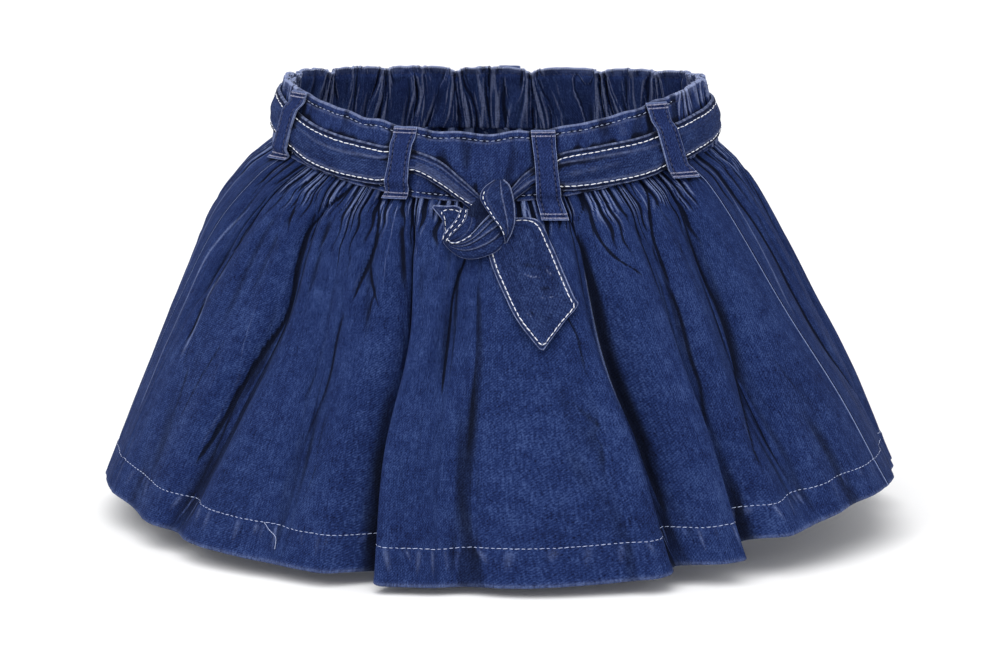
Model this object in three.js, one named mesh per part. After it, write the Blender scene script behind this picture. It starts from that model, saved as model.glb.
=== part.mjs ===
// A small child's gathered denim skirt with a tie belt, filled out as it is worn.
// Millimetres, +Z up. The front faces -Y and the origin is the middle of the waist, where the wearer
// holds it. Angles are degrees round the waist from the front centre, towards +X. "share" is how far
// across a panel's cloth a point lies, from 0 to 1. "down" is 0 at the waist seam and 1 at the hem.
import * as THREE from "three";

// Driving sizes
const bandDepth = 32; // waistband, top edge to seam
const bandWall = 2.4; // two layers of cloth and a stiffener
const panelWall = 1.4;
const hemWall = 2.4; // the hem is turned up, so it is double
const hemStart = 0.905; // where the turned-up hem begins, 18 mm above the edge
const hemStep = 0.015; // the turned edge's slope, as a part of the panel's depth
const seamGap = 0.3; // left between sewn pieces
const seamFade = 14; // folds and gathers are gone within 1/14 of a panel from its seam
const steepest = 0.45; // a gather is no deeper than this part of its pitch
const normalFollow = 0.3;
const crowding = 0.4; // how much denser the cloth is on a grain line
const topDipDepth = 1.6; // scallops in the elastic's top edge
const beltGap = 0.4; // left under the belt and what hangs from it
const beltWall = 1.4; // belt cloth at its edges
const beltPuff = 1.4; // how far the folded belt stands up between its edges
const loopWidth = 12;
const loopWall = 1.4;
const loopTurn = 3.5; // degrees from a loop's middle to past its edge

// Counts
const frontGathers = 50;
const backGathers = 36;
const ruffles = 40;
const topDips = 11;
const frontBandSteps = 40;
const pointsPerWave = 4;

const degrees = Math.PI / 180;

function table(columns, ...rows) {
  const names = columns.split(" ");
  return rows.map((row) => Object.fromEntries(names.map((name, i) => [name, row[i]])));
}

// The skirt's rings: half widths to the viewer's left and right, and depths to the front and back.
const outline = table(
  "down left right front back",
  [0.0, 114, 113, 70, 66],
  [0.06, 127, 125, 77, 73],
  [0.2, 145, 141, 90, 86],
  [0.45, 164, 164, 114, 108],
  [0.72, 183, 188, 138, 130],
  [1.0, 202, 208, 160, 148],
);
const bandTop = { left: 107.5, right: 106.5, front: 64, back: 61 };

// Heights of the edges at each side, at the front and at the back
const topEdge = { left: 18.5, right: 20, front: -1.5, back: 16 };
const hemEdge = { left: -189, right: -189, front: -201, back: -196 };
const hemLift = table(
  "angle lift",
  [-180, 0],
  [-130, 3],
  [-80, 3],
  [-50, 0],
  [-17, 1],
  [-12, -1],
  [18, 0],
  [41, 2],
  [47, 8],
  [62, 12],
  [80, 13],
  [130, 3],
  [180, 0],
);

// How the cloth's grain runs: the angle that a share of the panel has, from the waist to the hem.
const frontGrain = table(
  "share waist third twoThirds hem",
  [0.0, -63, -72, -77, -80],
  [0.09, -52, -62, -68, -71],
  [0.205, -40, -38, -43, -48],
  [0.315, -28, -25, -26, -27],
  [0.41, -17, -14, -15.5, -14.5],
  [0.52, -2, -2, -3, -2],
  [0.67, 21, 25, 30.5, 33],
  [0.805, 37, 41, 43, 44.5],
  [0.89, 47, 50, 51, 54],
  [1.0, 61, 66, 72, 76],
);
const backGrain = table(
  "share waist third twoThirds hem",
  [0.0, 61, 66, 72, 76],
  [0.16, 84, 88, 92, 95],
  [0.3, 114, 113, 115, 118],
  [0.43, 144, 148, 150, 149],
  [0.55, 178, 176, 173, 171],
  [0.7, 218, 216, 212, 209],
  [0.84, 258, 252, 248, 246],
  [1.0, 297, 288, 283, 280],
);

// Folds: where each lies across the cloth at its top and bottom, how far down it runs, its half width
// and depth in mm at its top, middle and bottom, and its lean, which tucks it under the cloth at its
// side. A negative depth is a ridge.
const foldColumns = "share shareLow from to wideTop wideLow deepTop deepMid deepLow lean";
const frontFolds = table(
  foldColumns,
  [0.04, 0.045, 0.04, 0.3, 5, 7, 1, 3, 1, 0],
  [0.085, 0.085, 0.08, 0.48, 6, 8, 1, 4, 1, 0],
  [0.14, 0.145, 0.4, 1.2, 14, 18, 0, 3, 5, 0],
  [0.185, 0.182, 0.05, 0.5, 5, 8, 0, -2, 0, 0],
  [0.205, 0.205, 0.0, 1.15, 5, 13, 4, 9, 7, 0.3],
  [0.265, 0.258, 0.0, 0.32, 4, 5, 1, 2.5, 1, 0],
  [0.325, 0.315, 0.3, 1.1, 6, 11, 1, 5, 3, 0],
  [0.345, 0.375, 0.0, 0.46, 4, 4.5, 2, 3.5, 1, 0],
  [0.41, 0.41, -0.02, 1.2, 5.5, 8, 3, 14, 22, 0.75],
  [0.432, 0.432, 0.0, 0.16, 3, 3, 1, 2, 1, 0],
  [0.455, 0.455, 0.4, 1.2, 9, 12, 0, -2, -3, 0],
  [0.51, 0.495, 0.14, 0.62, 4, 7, 1, 5, 0, -0.3],
  [0.545, 0.545, 0.15, 1.2, 9, 14, 1, 4, 4, 0],
  [0.61, 0.61, 0.35, 0.8, 10, 14, 0, 4, 1, 0],
  [0.638, 0.633, 0.36, 1.2, 6, 9, 0, -2.5, -2, 0],
  [0.67, 0.67, -0.02, 1.2, 7, 9.5, 3, 17, 9, -0.75],
  [0.745, 0.73, 0.0, 0.26, 4, 6, 2, 3, 1, 0],
  [0.775, 0.775, 0.4, 1.2, 8, 9, 0, -2, -4, 0],
  [0.805, 0.805, 0.0, 1.2, 5.5, 8.5, 2, 10, 18, -0.75],
  [0.89, 0.89, 0.0, 1.1, 6, 14, 3, 10, 5, 0],
  [0.945, 0.945, 0.3, 1.2, 10, 13, 0, 3, 3, 0],
);
const backFolds = table(
  foldColumns,
  [0.08, 0.09, 0.25, 1.2, 10, 16, 0, 3, 5, 0],
  [0.16, 0.16, 0.0, 1.15, 5, 11, 3, 8, 10, 0.2],
  [0.22, 0.23, 0.0, 0.35, 4, 5, 2, 3, 1, 0],
  [0.3, 0.3, -0.02, 1.2, 4, 9, 4, 13, 15, 0.6],
  [0.36, 0.37, 0.1, 0.75, 6, 10, 1, 5, 1, 0],
  [0.43, 0.43, 0.0, 1.2, 5, 13, 3, 7, 10, 0],
  [0.49, 0.49, 0.3, 1.2, 9, 14, 0, 4, 4, 0],
  [0.55, 0.55, 0.0, 1.2, 4, 9, 4, 12, 17, -0.7],
  [0.63, 0.62, 0.0, 0.5, 4, 8, 2, 4, 1, 0],
  [0.7, 0.7, 0.0, 1.15, 5, 12, 3, 10, 9, 0.2],
  [0.77, 0.77, 0.2, 1.2, 9, 14, 0, 4, 6, 0],
  [0.84, 0.84, -0.02, 1.2, 5, 10, 3, 11, 14, -0.5],
  [0.93, 0.92, 0.3, 1.2, 12, 16, 0, 3, 5, 0],
);

// The gathers under the waistband, crest to trough, and the ruffles of the elastic band.
const gatherDepths = table("down depth", [0, 1.8], [0.03, 3], [0.08, 3.2], [0.15, 1.8], [0.24, 0]);
const ruffleDepths = table("down depth", [0, 3.2], [0.5, 2], [1, 2.6]);

// The belt's middle line and half width, from the knot round the back to the knot again
const beltRoute = table(
  "angle height half",
  [6, -33.6, 2.8],
  [8.6, -30, 3],
  [11.3, -25, 3.9],
  [14.6, -20.7, 4.2],
  [19, -19.6, 7.4],
  [23, -18.6, 9],
  [32, -17, 9.5],
  [46, -13, 9.5],
  [60, -7, 9],
  [90, 1, 8.5],
  [130, 1, 9],
  [180, -1, 9],
  [230, 2, 9],
  [270, 4, 9],
  [298, -4, 9],
  [314, -12.5, 9.5],
  [334, -17.5, 9],
  [339.5, -16, 7.5],
  [343.8, -15.7, 5.2],
  [350.8, -20.9, 5.7],
  [356.6, -28.6, 5],
  [358.5, -31.3, 4.6],
);

// The belt loops: where each starts at the top edge, and where it ends
const loops = table(
  "name angle angleLow lowEnd",
  ["belt_loop_left_side", -60, -64, -20],
  ["belt_loop_left_front", -19.5, -20.5, -33],
  ["belt_loop_right_front", 17, 18, -41],
  ["belt_loop_right_side", 52, 56, -24],
  ["belt_loop_back", 180, 180, -18],
);

// The two ends of the belt, from the knot to the point: left and right edge, and lift off the skirt
const longTail = table(
  "leftX leftZ rightX rightZ lift",
  [4, -48, 17, -40, 0.8],
  [7.5, -56, 31, -41, 0.9],
  [11, -64, 38.5, -52, 1.1],
  [16, -73, 44.5, -63, 1.4],
  [23, -84, 51, -77, 1.8],
  [35.3, -97.6, 36.7, -98, 2.2],
);
const shortTail = table(
  "leftX leftZ rightX rightZ lift",
  [-6, -37, -7, -43, 0.8],
  [-10, -35.3, -13.5, -49.5, 0.9],
  [-14.5, -35.5, -15.5, -42, 1.2],
  [-21, -35.3, -21.4, -36, 1.6],
);
const knot = { x: 3, z: -41, halfWidth: 14.5, halfHeight: 16, lift: 2.5, proud: 12 };

const denim = "#2c4480";
const denimDark = "#22376b";

function mix(a, b, t) {
  return a + (b - a) * t;
}

function smooth(t) {
  const s = Math.min(1, Math.max(0, t));
  return s * s * (3 - 2 * s);
}

// A smooth curve through evenly or unevenly spaced points
function curveThrough(at, xs, ys) {
  const last = xs.length - 1;
  const slope = (i) => {
    const a = Math.max(0, i - 1);
    const b = Math.min(last, i + 1);
    return (ys[b] - ys[a]) / (xs[b] - xs[a]);
  };
  let i = 0;
  while (i < last - 1 && at >= xs[i + 1]) i += 1;
  const step = xs[i + 1] - xs[i];
  const t = Math.min(1, Math.max(0, (at - xs[i]) / step));
  const t2 = t * t;
  const t3 = t2 * t;
  return (
    (2 * t3 - 3 * t2 + 1) * ys[i] +
    (t3 - 2 * t2 + t) * step * slope(i) +
    (3 * t2 - 2 * t3) * ys[i + 1] +
    (t3 - t2) * step * slope(i + 1)
  );
}

function readCurve(rows, key, column, at) {
  return curveThrough(at, rows.map((row) => row[key]), rows.map((row) => row[column]));
}

// Between two rows the value eases from one to the next, so it never overshoots.
function readEased(rows, key, column, at) {
  let i = 0;
  while (i < rows.length - 2 && at >= rows[i + 1][key]) i += 1;
  const t = (at - rows[i][key]) / (rows[i + 1][key] - rows[i][key]);
  return mix(rows[i][column], rows[i + 1][column], smooth(t));
}

function edgeHeight(edge, angle) {
  const c = Math.cos(angle * degrees);
  const side = Math.sin(angle * degrees) > 0 ? edge.right : edge.left;
  return side + ((c > 0 ? edge.front : edge.back) - side) * c * c;
}

function skirtRing(down) {
  const read = (column) => readCurve(outline, "down", column, down);
  return { left: read("left"), right: read("right"), front: read("front"), back: read("back") };
}

function bandRing(down) {
  const seam = outline[0];
  const read = (side) => mix(bandTop[side], seam[side], down);
  return { left: read("left"), right: read("right"), front: read("front"), back: read("back") };
}

// A point on a ring at an angle and height, moved outwards and along the ring
function onRing(ring, angle, height, out = 0, along = 0) {
  const sin = Math.sin(angle * degrees);
  const cos = Math.cos(angle * degrees);
  const half = sin > 0 ? ring.right : ring.left;
  const depth = cos > 0 ? ring.front : ring.back;
  const normal = new THREE.Vector2(depth * sin, -half * cos).normalize();
  return new THREE.Vector3(
    half * sin + normal.x * out - normal.y * along,
    -depth * cos + normal.y * out + normal.x * along,
    height,
  );
}

// Millimetres round the ring for each degree
function ringScale(ring, angle) {
  const sin = Math.sin(angle * degrees);
  const cos = Math.cos(angle * degrees);
  const half = sin > 0 ? ring.right : ring.left;
  const depth = cos > 0 ? ring.front : ring.back;
  return Math.hypot(half * cos, depth * sin) * degrees;
}

function seamHeight(angle) {
  return edgeHeight(topEdge, angle) - bandDepth;
}

function skirtHeight(angle, down) {
  const turn = ((((angle + 180) % 360) + 360) % 360) - 180;
  const low = edgeHeight(hemEdge, angle) + readEased(hemLift, "angle", "lift", turn) * down * down;
  return mix(seamHeight(angle) - seamGap, low, down);
}

// The grain crowds towards each of its lines, where the main folds lie.
function grainAngle(grain, share, down) {
  let i = 0;
  while (i < grain.length - 2 && share >= grain[i + 1].share) i += 1;
  const angleOf = (row) =>
    curveThrough(down, [0, 1 / 3, 2 / 3, 1], [row.waist, row.third, row.twoThirds, row.hem]);
  const t = (share - grain[i].share) / (grain[i + 1].share - grain[i].share);
  const crowded = t - (crowding * Math.sin(2 * Math.PI * t)) / (2 * Math.PI);
  return mix(angleOf(grain[i]), angleOf(grain[i + 1]), crowded);
}

function foldDepth(fold, run) {
  const low = run > 0.5;
  const from = low ? fold.deepMid : fold.deepTop;
  const to = low ? fold.deepLow : fold.deepMid;
  return mix(from, to, smooth(low ? run * 2 - 1 : run * 2));
}

// A fixed unevenness from 0 to 1, so that no two gathers are the same
function uneven(number) {
  const wave = Math.sin(number * 12.9898) * 43758.5453;
  return wave - Math.floor(wave);
}

function gatherDepth(panel, share, down) {
  const number = Math.round(share * panel.gathers);
  const reach = down / mix(0.7, 1.25, uneven(number));
  const depth = readCurve(gatherDepths, "down", "depth", Math.min(reach, 0.24));
  const wave = (1 - Math.cos(2 * Math.PI * panel.gathers * share)) / 2;
  const pitch = gatherPitch(panel, share, down);
  return Math.min(depth * mix(0.75, 1.1, uneven(number + 0.5)), steepest * pitch) * wave;
}

// Millimetres from one gather to the next
function gatherPitch(panel, share, down) {
  const half = 0.002;
  const low = Math.max(0, share - half);
  const high = Math.min(1, share + half);
  const angle = grainAngle(panel.grain, low, down);
  const turn = (grainAngle(panel.grain, high, down) - angle) / (high - low);
  return (turn * ringScale(skirtRing(down), angle)) / panel.gathers;
}

// Folds and gathers fade out beside a seam, from 1 to 0.
function besideSeam(share) {
  return smooth(share * seamFade) * smooth((1 - share) * seamFade);
}

// Draws a piece's two ends back from their seams
function seamShift(share) {
  return (seamGap / 2) * (1 - besideSeam(share)) * (share < 0.5 ? 1 : -1);
}

// A point of a panel's outer face
function panelPoint(panel, share, down, gathered = 1) {
  const angle = grainAngle(panel.grain, share, down);
  const ring = skirtRing(down);
  const fade = besideSeam(share);
  let out = -gatherDepth(panel, share, down) * fade * gathered;
  let along = seamShift(share);
  for (const fold of panel.folds) {
    const run = (down - fold.from) / (fold.to - fold.from);
    if (run <= 0 || run >= 1) continue;
    const centre = grainAngle(panel.grain, mix(fold.share, fold.shareLow, run), down);
    const away = (angle - centre) * ringScale(ring, angle);
    const wide = mix(fold.wideTop, fold.wideLow, run);
    const ends = smooth(run * 8) * smooth((1 - run) * 5);
    const deep = foldDepth(fold, run) * ends * fade * Math.exp(-((away / wide) ** 2));
    out -= deep;
    along += deep * fold.lean;
  }
  return onRing(ring, angle, skirtHeight(angle, down), out, along);
}

// The way out of the cloth. It follows the gathers only in part, so that a tight wave's inner face
// doesn't cross itself.
function panelNormal(panel, share, down) {
  const step = 0.0004;
  const within = (t) => Math.min(1, Math.max(0, t));
  const at = (s, d) => panelPoint(panel, within(s), within(d), normalFollow);
  const across = at(share + step, down).sub(at(share - step, down));
  const fall = at(share, down + step).sub(at(share, down - step));
  return fall.cross(across).normalize();
}

// Joins two rows of points with triangles. The upper row has as many steps as the lower, or twice.
function joinRows(faces, upper, lower, inward) {
  const twice = upper.length > lower.length ? 2 : 1;
  const add = (a, b, c) => faces.push(inward ? [a, c, b] : [a, b, c]);
  for (let i = 0; i < lower.length - 1; i += 1) {
    const k = i * twice;
    add(upper[k], lower[i], lower[i + 1]);
    if (twice === 1) {
      add(upper[k], lower[i + 1], upper[k + 1]);
    } else {
      add(upper[k], lower[i + 1], upper[k + 1]);
      add(upper[k + 1], lower[i + 1], upper[k + 2]);
    }
  }
}

// A closed wall between rows of outer points and rows of inner points, both from the top down and in
// the direction of growing angle.
function closedWall(outerRows, innerRows) {
  const points = [];
  const keep = (rows) => rows.map((row) => row.map((point) => points.push(point) - 1));
  const outer = keep(outerRows);
  const inner = keep(innerRows);
  const faces = [];
  const last = outer.length - 1;
  for (let j = 0; j < last; j += 1) {
    joinRows(faces, outer[j], outer[j + 1], false);
    joinRows(faces, inner[j], inner[j + 1], true);
    const end = outer[j].length - 1;
    const endLow = outer[j + 1].length - 1;
    faces.push([inner[j][0], inner[j + 1][0], outer[j + 1][0]], [inner[j][0], outer[j + 1][0], outer[j][0]]);
    faces.push(
      [outer[j][end], outer[j + 1][endLow], inner[j + 1][endLow]],
      [outer[j][end], inner[j + 1][endLow], inner[j][end]],
    );
  }
  joinRows(faces, inner[0], outer[0], false);
  joinRows(faces, outer[last], inner[last], false);
  const geometry = new THREE.BufferGeometry();
  geometry.setAttribute("position", new THREE.Float32BufferAttribute(points.flatMap((p) => p.toArray()), 3));
  geometry.setIndex(faces.flat());
  return geometry;
}

function steps(count) {
  return Array.from({ length: count + 1 }, (_, i) => i / count);
}

function panelGeometry(panel) {
  const fine = panel.gathers * pointsPerWave;
  const outerRows = [];
  const innerRows = [];
  panel.rows.forEach((down, j) => {
    const columns = j < panel.fineRows ? fine : fine / 2;
    const wall = mix(panelWall, hemWall, smooth((down - hemStart + hemStep) / hemStep));
    const shares = steps(columns);
    const outer = shares.map((share) => panelPoint(panel, share, down));
    outerRows.push(outer);
    const inwards = (point, i) => point.clone().addScaledVector(panelNormal(panel, shares[i], down), -wall);
    innerRows.push(outer.map(inwards));
  });
  return closedWall(outerRows, innerRows);
}

function frontBandGeometry() {
  const rows = (inset) =>
    [0, 0.5, 1].map((down) =>
      steps(frontBandSteps).map((share) => {
        const angle = mix(frontGrain[0].waist, frontGrain.at(-1).waist, share);
        const height = edgeHeight(topEdge, angle) - bandDepth * down;
        return onRing(bandRing(down), angle, height, -inset, seamShift(share));
      }),
    );
  return closedWall(rows(0), rows(bandWall));
}

function backBandGeometry() {
  const rows = (inset) =>
    [0, 0.5, 1].map((down) =>
      steps(ruffles * pointsPerWave).map((share) => {
        const angle = mix(backGrain[0].waist, backGrain.at(-1).waist, share);
        const wave = (1 - Math.cos(2 * Math.PI * ruffles * share)) / 2;
        const deep = readCurve(ruffleDepths, "down", "depth", down) * wave * besideSeam(share);
        const dip = topDipDepth * Math.max(0, Math.sin(2 * Math.PI * topDips * share)) ** 3 * (1 - down);
        const height = edgeHeight(topEdge, angle) - bandDepth * down - dip * besideSeam(share);
        return onRing(bandRing(down), angle, height, -deep - inset, seamShift(share));
      }),
    );
  return closedWall(rows(0), rows(bandWall));
}

// A point lifted off the band, or off the panel below the seam
function overSkirt(angle, height, lift) {
  const seam = seamHeight(angle);
  const ring =
    height > seam
      ? bandRing((edgeHeight(topEdge, angle) - height) / bandDepth)
      : skirtRing((seam - height) / (seam - edgeHeight(hemEdge, angle)));
  return onRing(ring, angle, height, lift);
}

// The same, for a point of the front given by its x
function overFront(x, height, lift) {
  let angle = 0;
  for (let pass = 0; pass < 6; pass += 1) {
    const point = overSkirt(angle, height, lift);
    angle += (x - point.x) / 115 / degrees;
  }
  return overSkirt(angle, height, lift);
}

function beltGeometry() {
  const stations = 72;
  const across = [-1, -0.5, 0.35, 1]; // from the top edge to the lower
  const puff = [0, 1, 0.8, 0];
  const first = beltRoute[0].angle;
  const last = beltRoute.at(-1).angle;
  const rows = (outer) =>
    across.map((place, j) =>
      steps(stations).map((step) => {
        const angle = mix(first, last, step);
        const half = readCurve(beltRoute, "angle", "half", angle);
        const height = readCurve(beltRoute, "angle", "height", angle) - place * half;
        return overSkirt(angle, height, beltGap + (outer ? beltWall + beltPuff * puff[j] : 0));
      }),
    );
  return closedWall(rows(true), rows(false));
}

function loopGeometry(loop) {
  const topEnd = edgeHeight(topEdge, loop.angle) - 0.8;
  const beltAngle = (loop.angle + 360) % 360;
  const beltHeight = readCurve(beltRoute, "angle", "height", beltAngle);
  const halfAt = (aside) => readCurve(beltRoute, "angle", "half", beltAngle + aside);
  const beltHalf = Math.max(halfAt(-loopTurn), halfAt(loopTurn));
  const over = beltGap * 2 + beltWall + beltPuff;
  const stations = [0, 0.1, 0.22, 0.36, 0.5, 0.64, 0.78, 0.9, 1];
  const rows = (wall) =>
    stations.map((down) => {
      const height = mix(topEnd, loop.lowEnd, down);
      const past = (Math.abs(height - beltHeight) - beltHalf) / 5;
      const lift = mix(over, beltGap, smooth(past)) + wall;
      const angle = mix(loop.angle, loop.angleLow, down);
      const half = loopWidth / 2 / ringScale(skirtRing(0), angle);
      return [-1, 0, 1].map((side) => overSkirt(angle + side * half, height, lift));
    });
  return closedWall(rows(loopWall), rows(0));
}

function tailGeometry(tail) {
  const rows = (outer) =>
    tail.map((row) =>
      [0, 0.33, 0.67, 1].map((t, i) => {
        const puff = i === 1 || i === 2 ? 0.3 : 0;
        const lift = row.lift + (outer ? beltWall + puff : 0);
        return overFront(mix(row.leftX, row.rightX, t), mix(row.leftZ, row.rightZ, t), lift);
      }),
    );
  return closedWall(rows(true), rows(false));
}

// A ball flattened against the skirt, with the wrap that crosses it from the top to the lower right
// and the grooves of the turn below it
function knotGeometry() {
  const geometry = new THREE.SphereGeometry(1, 26, 16);
  const place = geometry.attributes.position;
  for (let i = 0; i < place.count; i += 1) {
    const [x, z, front] = [place.getX(i), place.getY(i), place.getZ(i)];
    const facing = smooth(front * 2);
    const fromWrap = (x + 0.2) * 0.87 - (0.85 - z) * 0.49;
    const turn = Math.hypot(x + 0.1, z - 0.1);
    const wrap = 1.6 * Math.tanh(fromWrap * 5) - 1.4 * Math.exp(-((fromWrap * 7) ** 2));
    const grooves = fromWrap < 0 ? 0.7 * Math.cos(turn * 15) : 0;
    const lift = knot.lift + (knot.proud * (1 + front)) / 2 + (wrap + grooves) * facing;
    const lean = 1 + 0.1 * Math.max(0, -x - z);
    const point = overFront(knot.x + x * knot.halfWidth * lean, knot.z + z * knot.halfHeight * lean, lift);
    place.setXYZ(i, point.x, point.y, point.z);
  }
  return geometry;
}

const skirt = new THREE.Group();

function addPiece(name, geometry, color = denim) {
  const cloth = new THREE.MeshStandardMaterial({ color, roughness: 0.9, metalness: 0 });
  const piece = new THREE.Mesh(geometry, cloth);
  piece.name = name;
  skirt.add(piece);
}

const frontPanel = {
  grain: frontGrain,
  folds: frontFolds,
  gathers: frontGathers,
  rows: [0, 0.03, 0.08, 0.15, 0.24, 0.34, 0.45, 0.56, 0.67, 0.78, 0.89, 0.905, 1],
  fineRows: 4,
};
const backPanel = {
  grain: backGrain,
  folds: backFolds,
  gathers: backGathers,
  rows: [0, 0.03, 0.08, 0.15, 0.24, 0.38, 0.52, 0.66, 0.78, 0.89, 0.905, 1],
  fineRows: 4,
};

addPiece("front_panel", panelGeometry(frontPanel));
addPiece("back_panel", panelGeometry(backPanel));
addPiece("front_waistband", frontBandGeometry());
addPiece("back_waistband", backBandGeometry());
for (const loop of loops) addPiece(loop.name, loopGeometry(loop), denimDark);
addPiece("belt", beltGeometry());
addPiece("belt_knot", knotGeometry());
addPiece("belt_tail_long", tailGeometry(longTail));
addPiece("belt_tail_short", tailGeometry(shortTail));

export default skirt;
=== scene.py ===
# A small child's gathered denim skirt with a tie belt, filled out as it is worn.
# The shapes are worked out in millimetres and made into meshes in metres, +Z up, with the front to -Y.
# Angles are degrees round the waist from the front centre, towards +X. "share" is how far across a
# panel's cloth a point lies, from 0 to 1. "down" is 0 at the waist seam and 1 at the hem.
import math
from types import SimpleNamespace

import bpy
import numpy as np
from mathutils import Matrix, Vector


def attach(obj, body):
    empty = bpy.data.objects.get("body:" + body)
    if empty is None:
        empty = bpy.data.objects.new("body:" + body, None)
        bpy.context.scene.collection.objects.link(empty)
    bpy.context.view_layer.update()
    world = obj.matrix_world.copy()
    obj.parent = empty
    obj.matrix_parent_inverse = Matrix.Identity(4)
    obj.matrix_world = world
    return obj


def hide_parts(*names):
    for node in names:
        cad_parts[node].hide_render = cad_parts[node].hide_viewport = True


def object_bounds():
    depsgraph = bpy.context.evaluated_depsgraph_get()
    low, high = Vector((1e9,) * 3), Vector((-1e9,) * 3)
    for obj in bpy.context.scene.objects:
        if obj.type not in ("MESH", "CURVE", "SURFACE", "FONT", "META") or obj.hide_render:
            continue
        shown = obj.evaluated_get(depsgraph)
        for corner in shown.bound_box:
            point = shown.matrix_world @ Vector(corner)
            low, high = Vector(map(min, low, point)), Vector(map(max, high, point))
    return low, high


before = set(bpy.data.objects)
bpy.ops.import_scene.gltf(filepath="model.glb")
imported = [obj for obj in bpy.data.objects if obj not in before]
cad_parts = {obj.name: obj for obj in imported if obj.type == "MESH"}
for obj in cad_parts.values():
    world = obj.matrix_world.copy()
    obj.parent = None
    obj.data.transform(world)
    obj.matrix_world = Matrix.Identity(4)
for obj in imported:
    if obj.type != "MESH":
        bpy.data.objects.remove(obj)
cad_box = [list(corner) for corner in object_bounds()]

# Driving sizes, in millimetres unless they are counts or shares
BAND_DEPTH = 32.0
BAND_WALL = 2.4
FRONT_BAND_LENGTH, BACK_BAND_LENGTH = 245.0, 520.0
PANEL_WALL = 1.4
PANEL_LENGTH = 195.0
HEM_WALL = 2.4
HEM_START = 0.905  # the turned-up hem begins here, and its stitches run here
HEM_STEP = 0.015  # how far above that the wall starts to thicken
SEAM_GAP = 0.3
SEAM_FADE = 14.0  # folds and gathers fade out over a 14th of the cloth beside each side seam
BELT_LENGTH = 600.0
BELT_GAP = 0.4
BELT_WALL = 1.4
BELT_PUFF = 1.4
LOOP_WIDTH = 12.0
LOOP_WALL = 1.4
LOOP_SEAM = 0.66  # where its stitch rows lie, as a share of its half width
SHADE_RIM = 3.2  # how far the painted shade under the belt and loops reaches past their edges
TOP_DIPS = 11
RUFFLES = 40
TOP_ROW, SEAM_ROW = 2.6, 2.2  # how far the front band's stitch rows are from its edges
ELASTIC_ROW = 3.2  # how far the back band's stitch row is from its top edge
PUCKER_LENGTH = 6.2  # of the front band's puckers, about two stitches
PUCKER_PITCH = 9  # of the hem's puckers
TRIM_LIFT = 0.08  # how far the middle of a stitch stands off the belt, the knot and the loops
CROWDING = 0.4  # how strongly the grain crowds towards its lines
STEEPEST = 0.5  # the most that a gather may be deep for its width
FAINT_CREASES = 75

# Rows and columns of the grids that stitches are placed on
FRONT_BAND_ROWS = 46
BELT_ROWS, BELT_STEPS = 34, 620
LOOP_COLUMNS, LOOP_ROWS = 28, 66
TURN_ROWS = 64


def table(columns, *rows):
    """Named columns of numbers, a row for each section or fold."""
    return dict(zip(columns.split(), np.array(rows, float).T))


OUTLINE = table(
    "down left right front back",
    [0.0, 114, 113, 70, 66],
    [0.06, 127, 125, 77, 73],
    [0.2, 145, 141, 90, 86],
    [0.45, 164, 164, 114, 108],
    [0.72, 183, 188, 138, 130],
    [1.0, 202, 208, 160, 148],
)
SIDES = ("left", "right", "front", "back")
BAND_TOP = {"left": 107.5, "right": 106.5, "front": 64.0, "back": 61.0}
TOP_EDGE = {"left": 18.5, "right": 20.0, "front": -1.5, "back": 16.0}
HEM_EDGE = {"left": -189.0, "right": -189.0, "front": -201.0, "back": -196.0}
HEM_LIFT = table(
    "angle lift",
    [-180, 0],
    [-130, 3],
    [-80, 3],
    [-50, 0],
    [-17, 1],
    [-12, -1],
    [18, 0],
    [41, 2],
    [47, 8],
    [62, 12],
    [80, 13],
    [130, 3],
    [180, 0],
)

# How the cloth's grain runs: the angle that a share of the panel has, from the waist to the hem
FRONT_GRAIN = table(
    "share waist third two_thirds hem",
    [0.0, -63, -72, -77, -80],
    [0.09, -52, -62, -68, -71],
    [0.205, -40, -38, -43, -48],
    [0.315, -28, -25, -26, -27],
    [0.41, -17, -14, -15.5, -14.5],
    [0.52, -2, -2, -3, -2],
    [0.67, 21, 25, 30.5, 33],
    [0.805, 37, 41, 43, 44.5],
    [0.89, 47, 50, 51, 54],
    [1.0, 61, 66, 72, 76],
)
BACK_GRAIN = table(
    "share waist third two_thirds hem",
    [0.0, 61, 66, 72, 76],
    [0.16, 84, 88, 92, 95],
    [0.3, 114, 113, 115, 118],
    [0.43, 144, 148, 150, 149],
    [0.55, 178, 176, 173, 171],
    [0.7, 218, 216, 212, 209],
    [0.84, 258, 252, 248, 246],
    [1.0, 297, 288, 283, 280],
)

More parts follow.
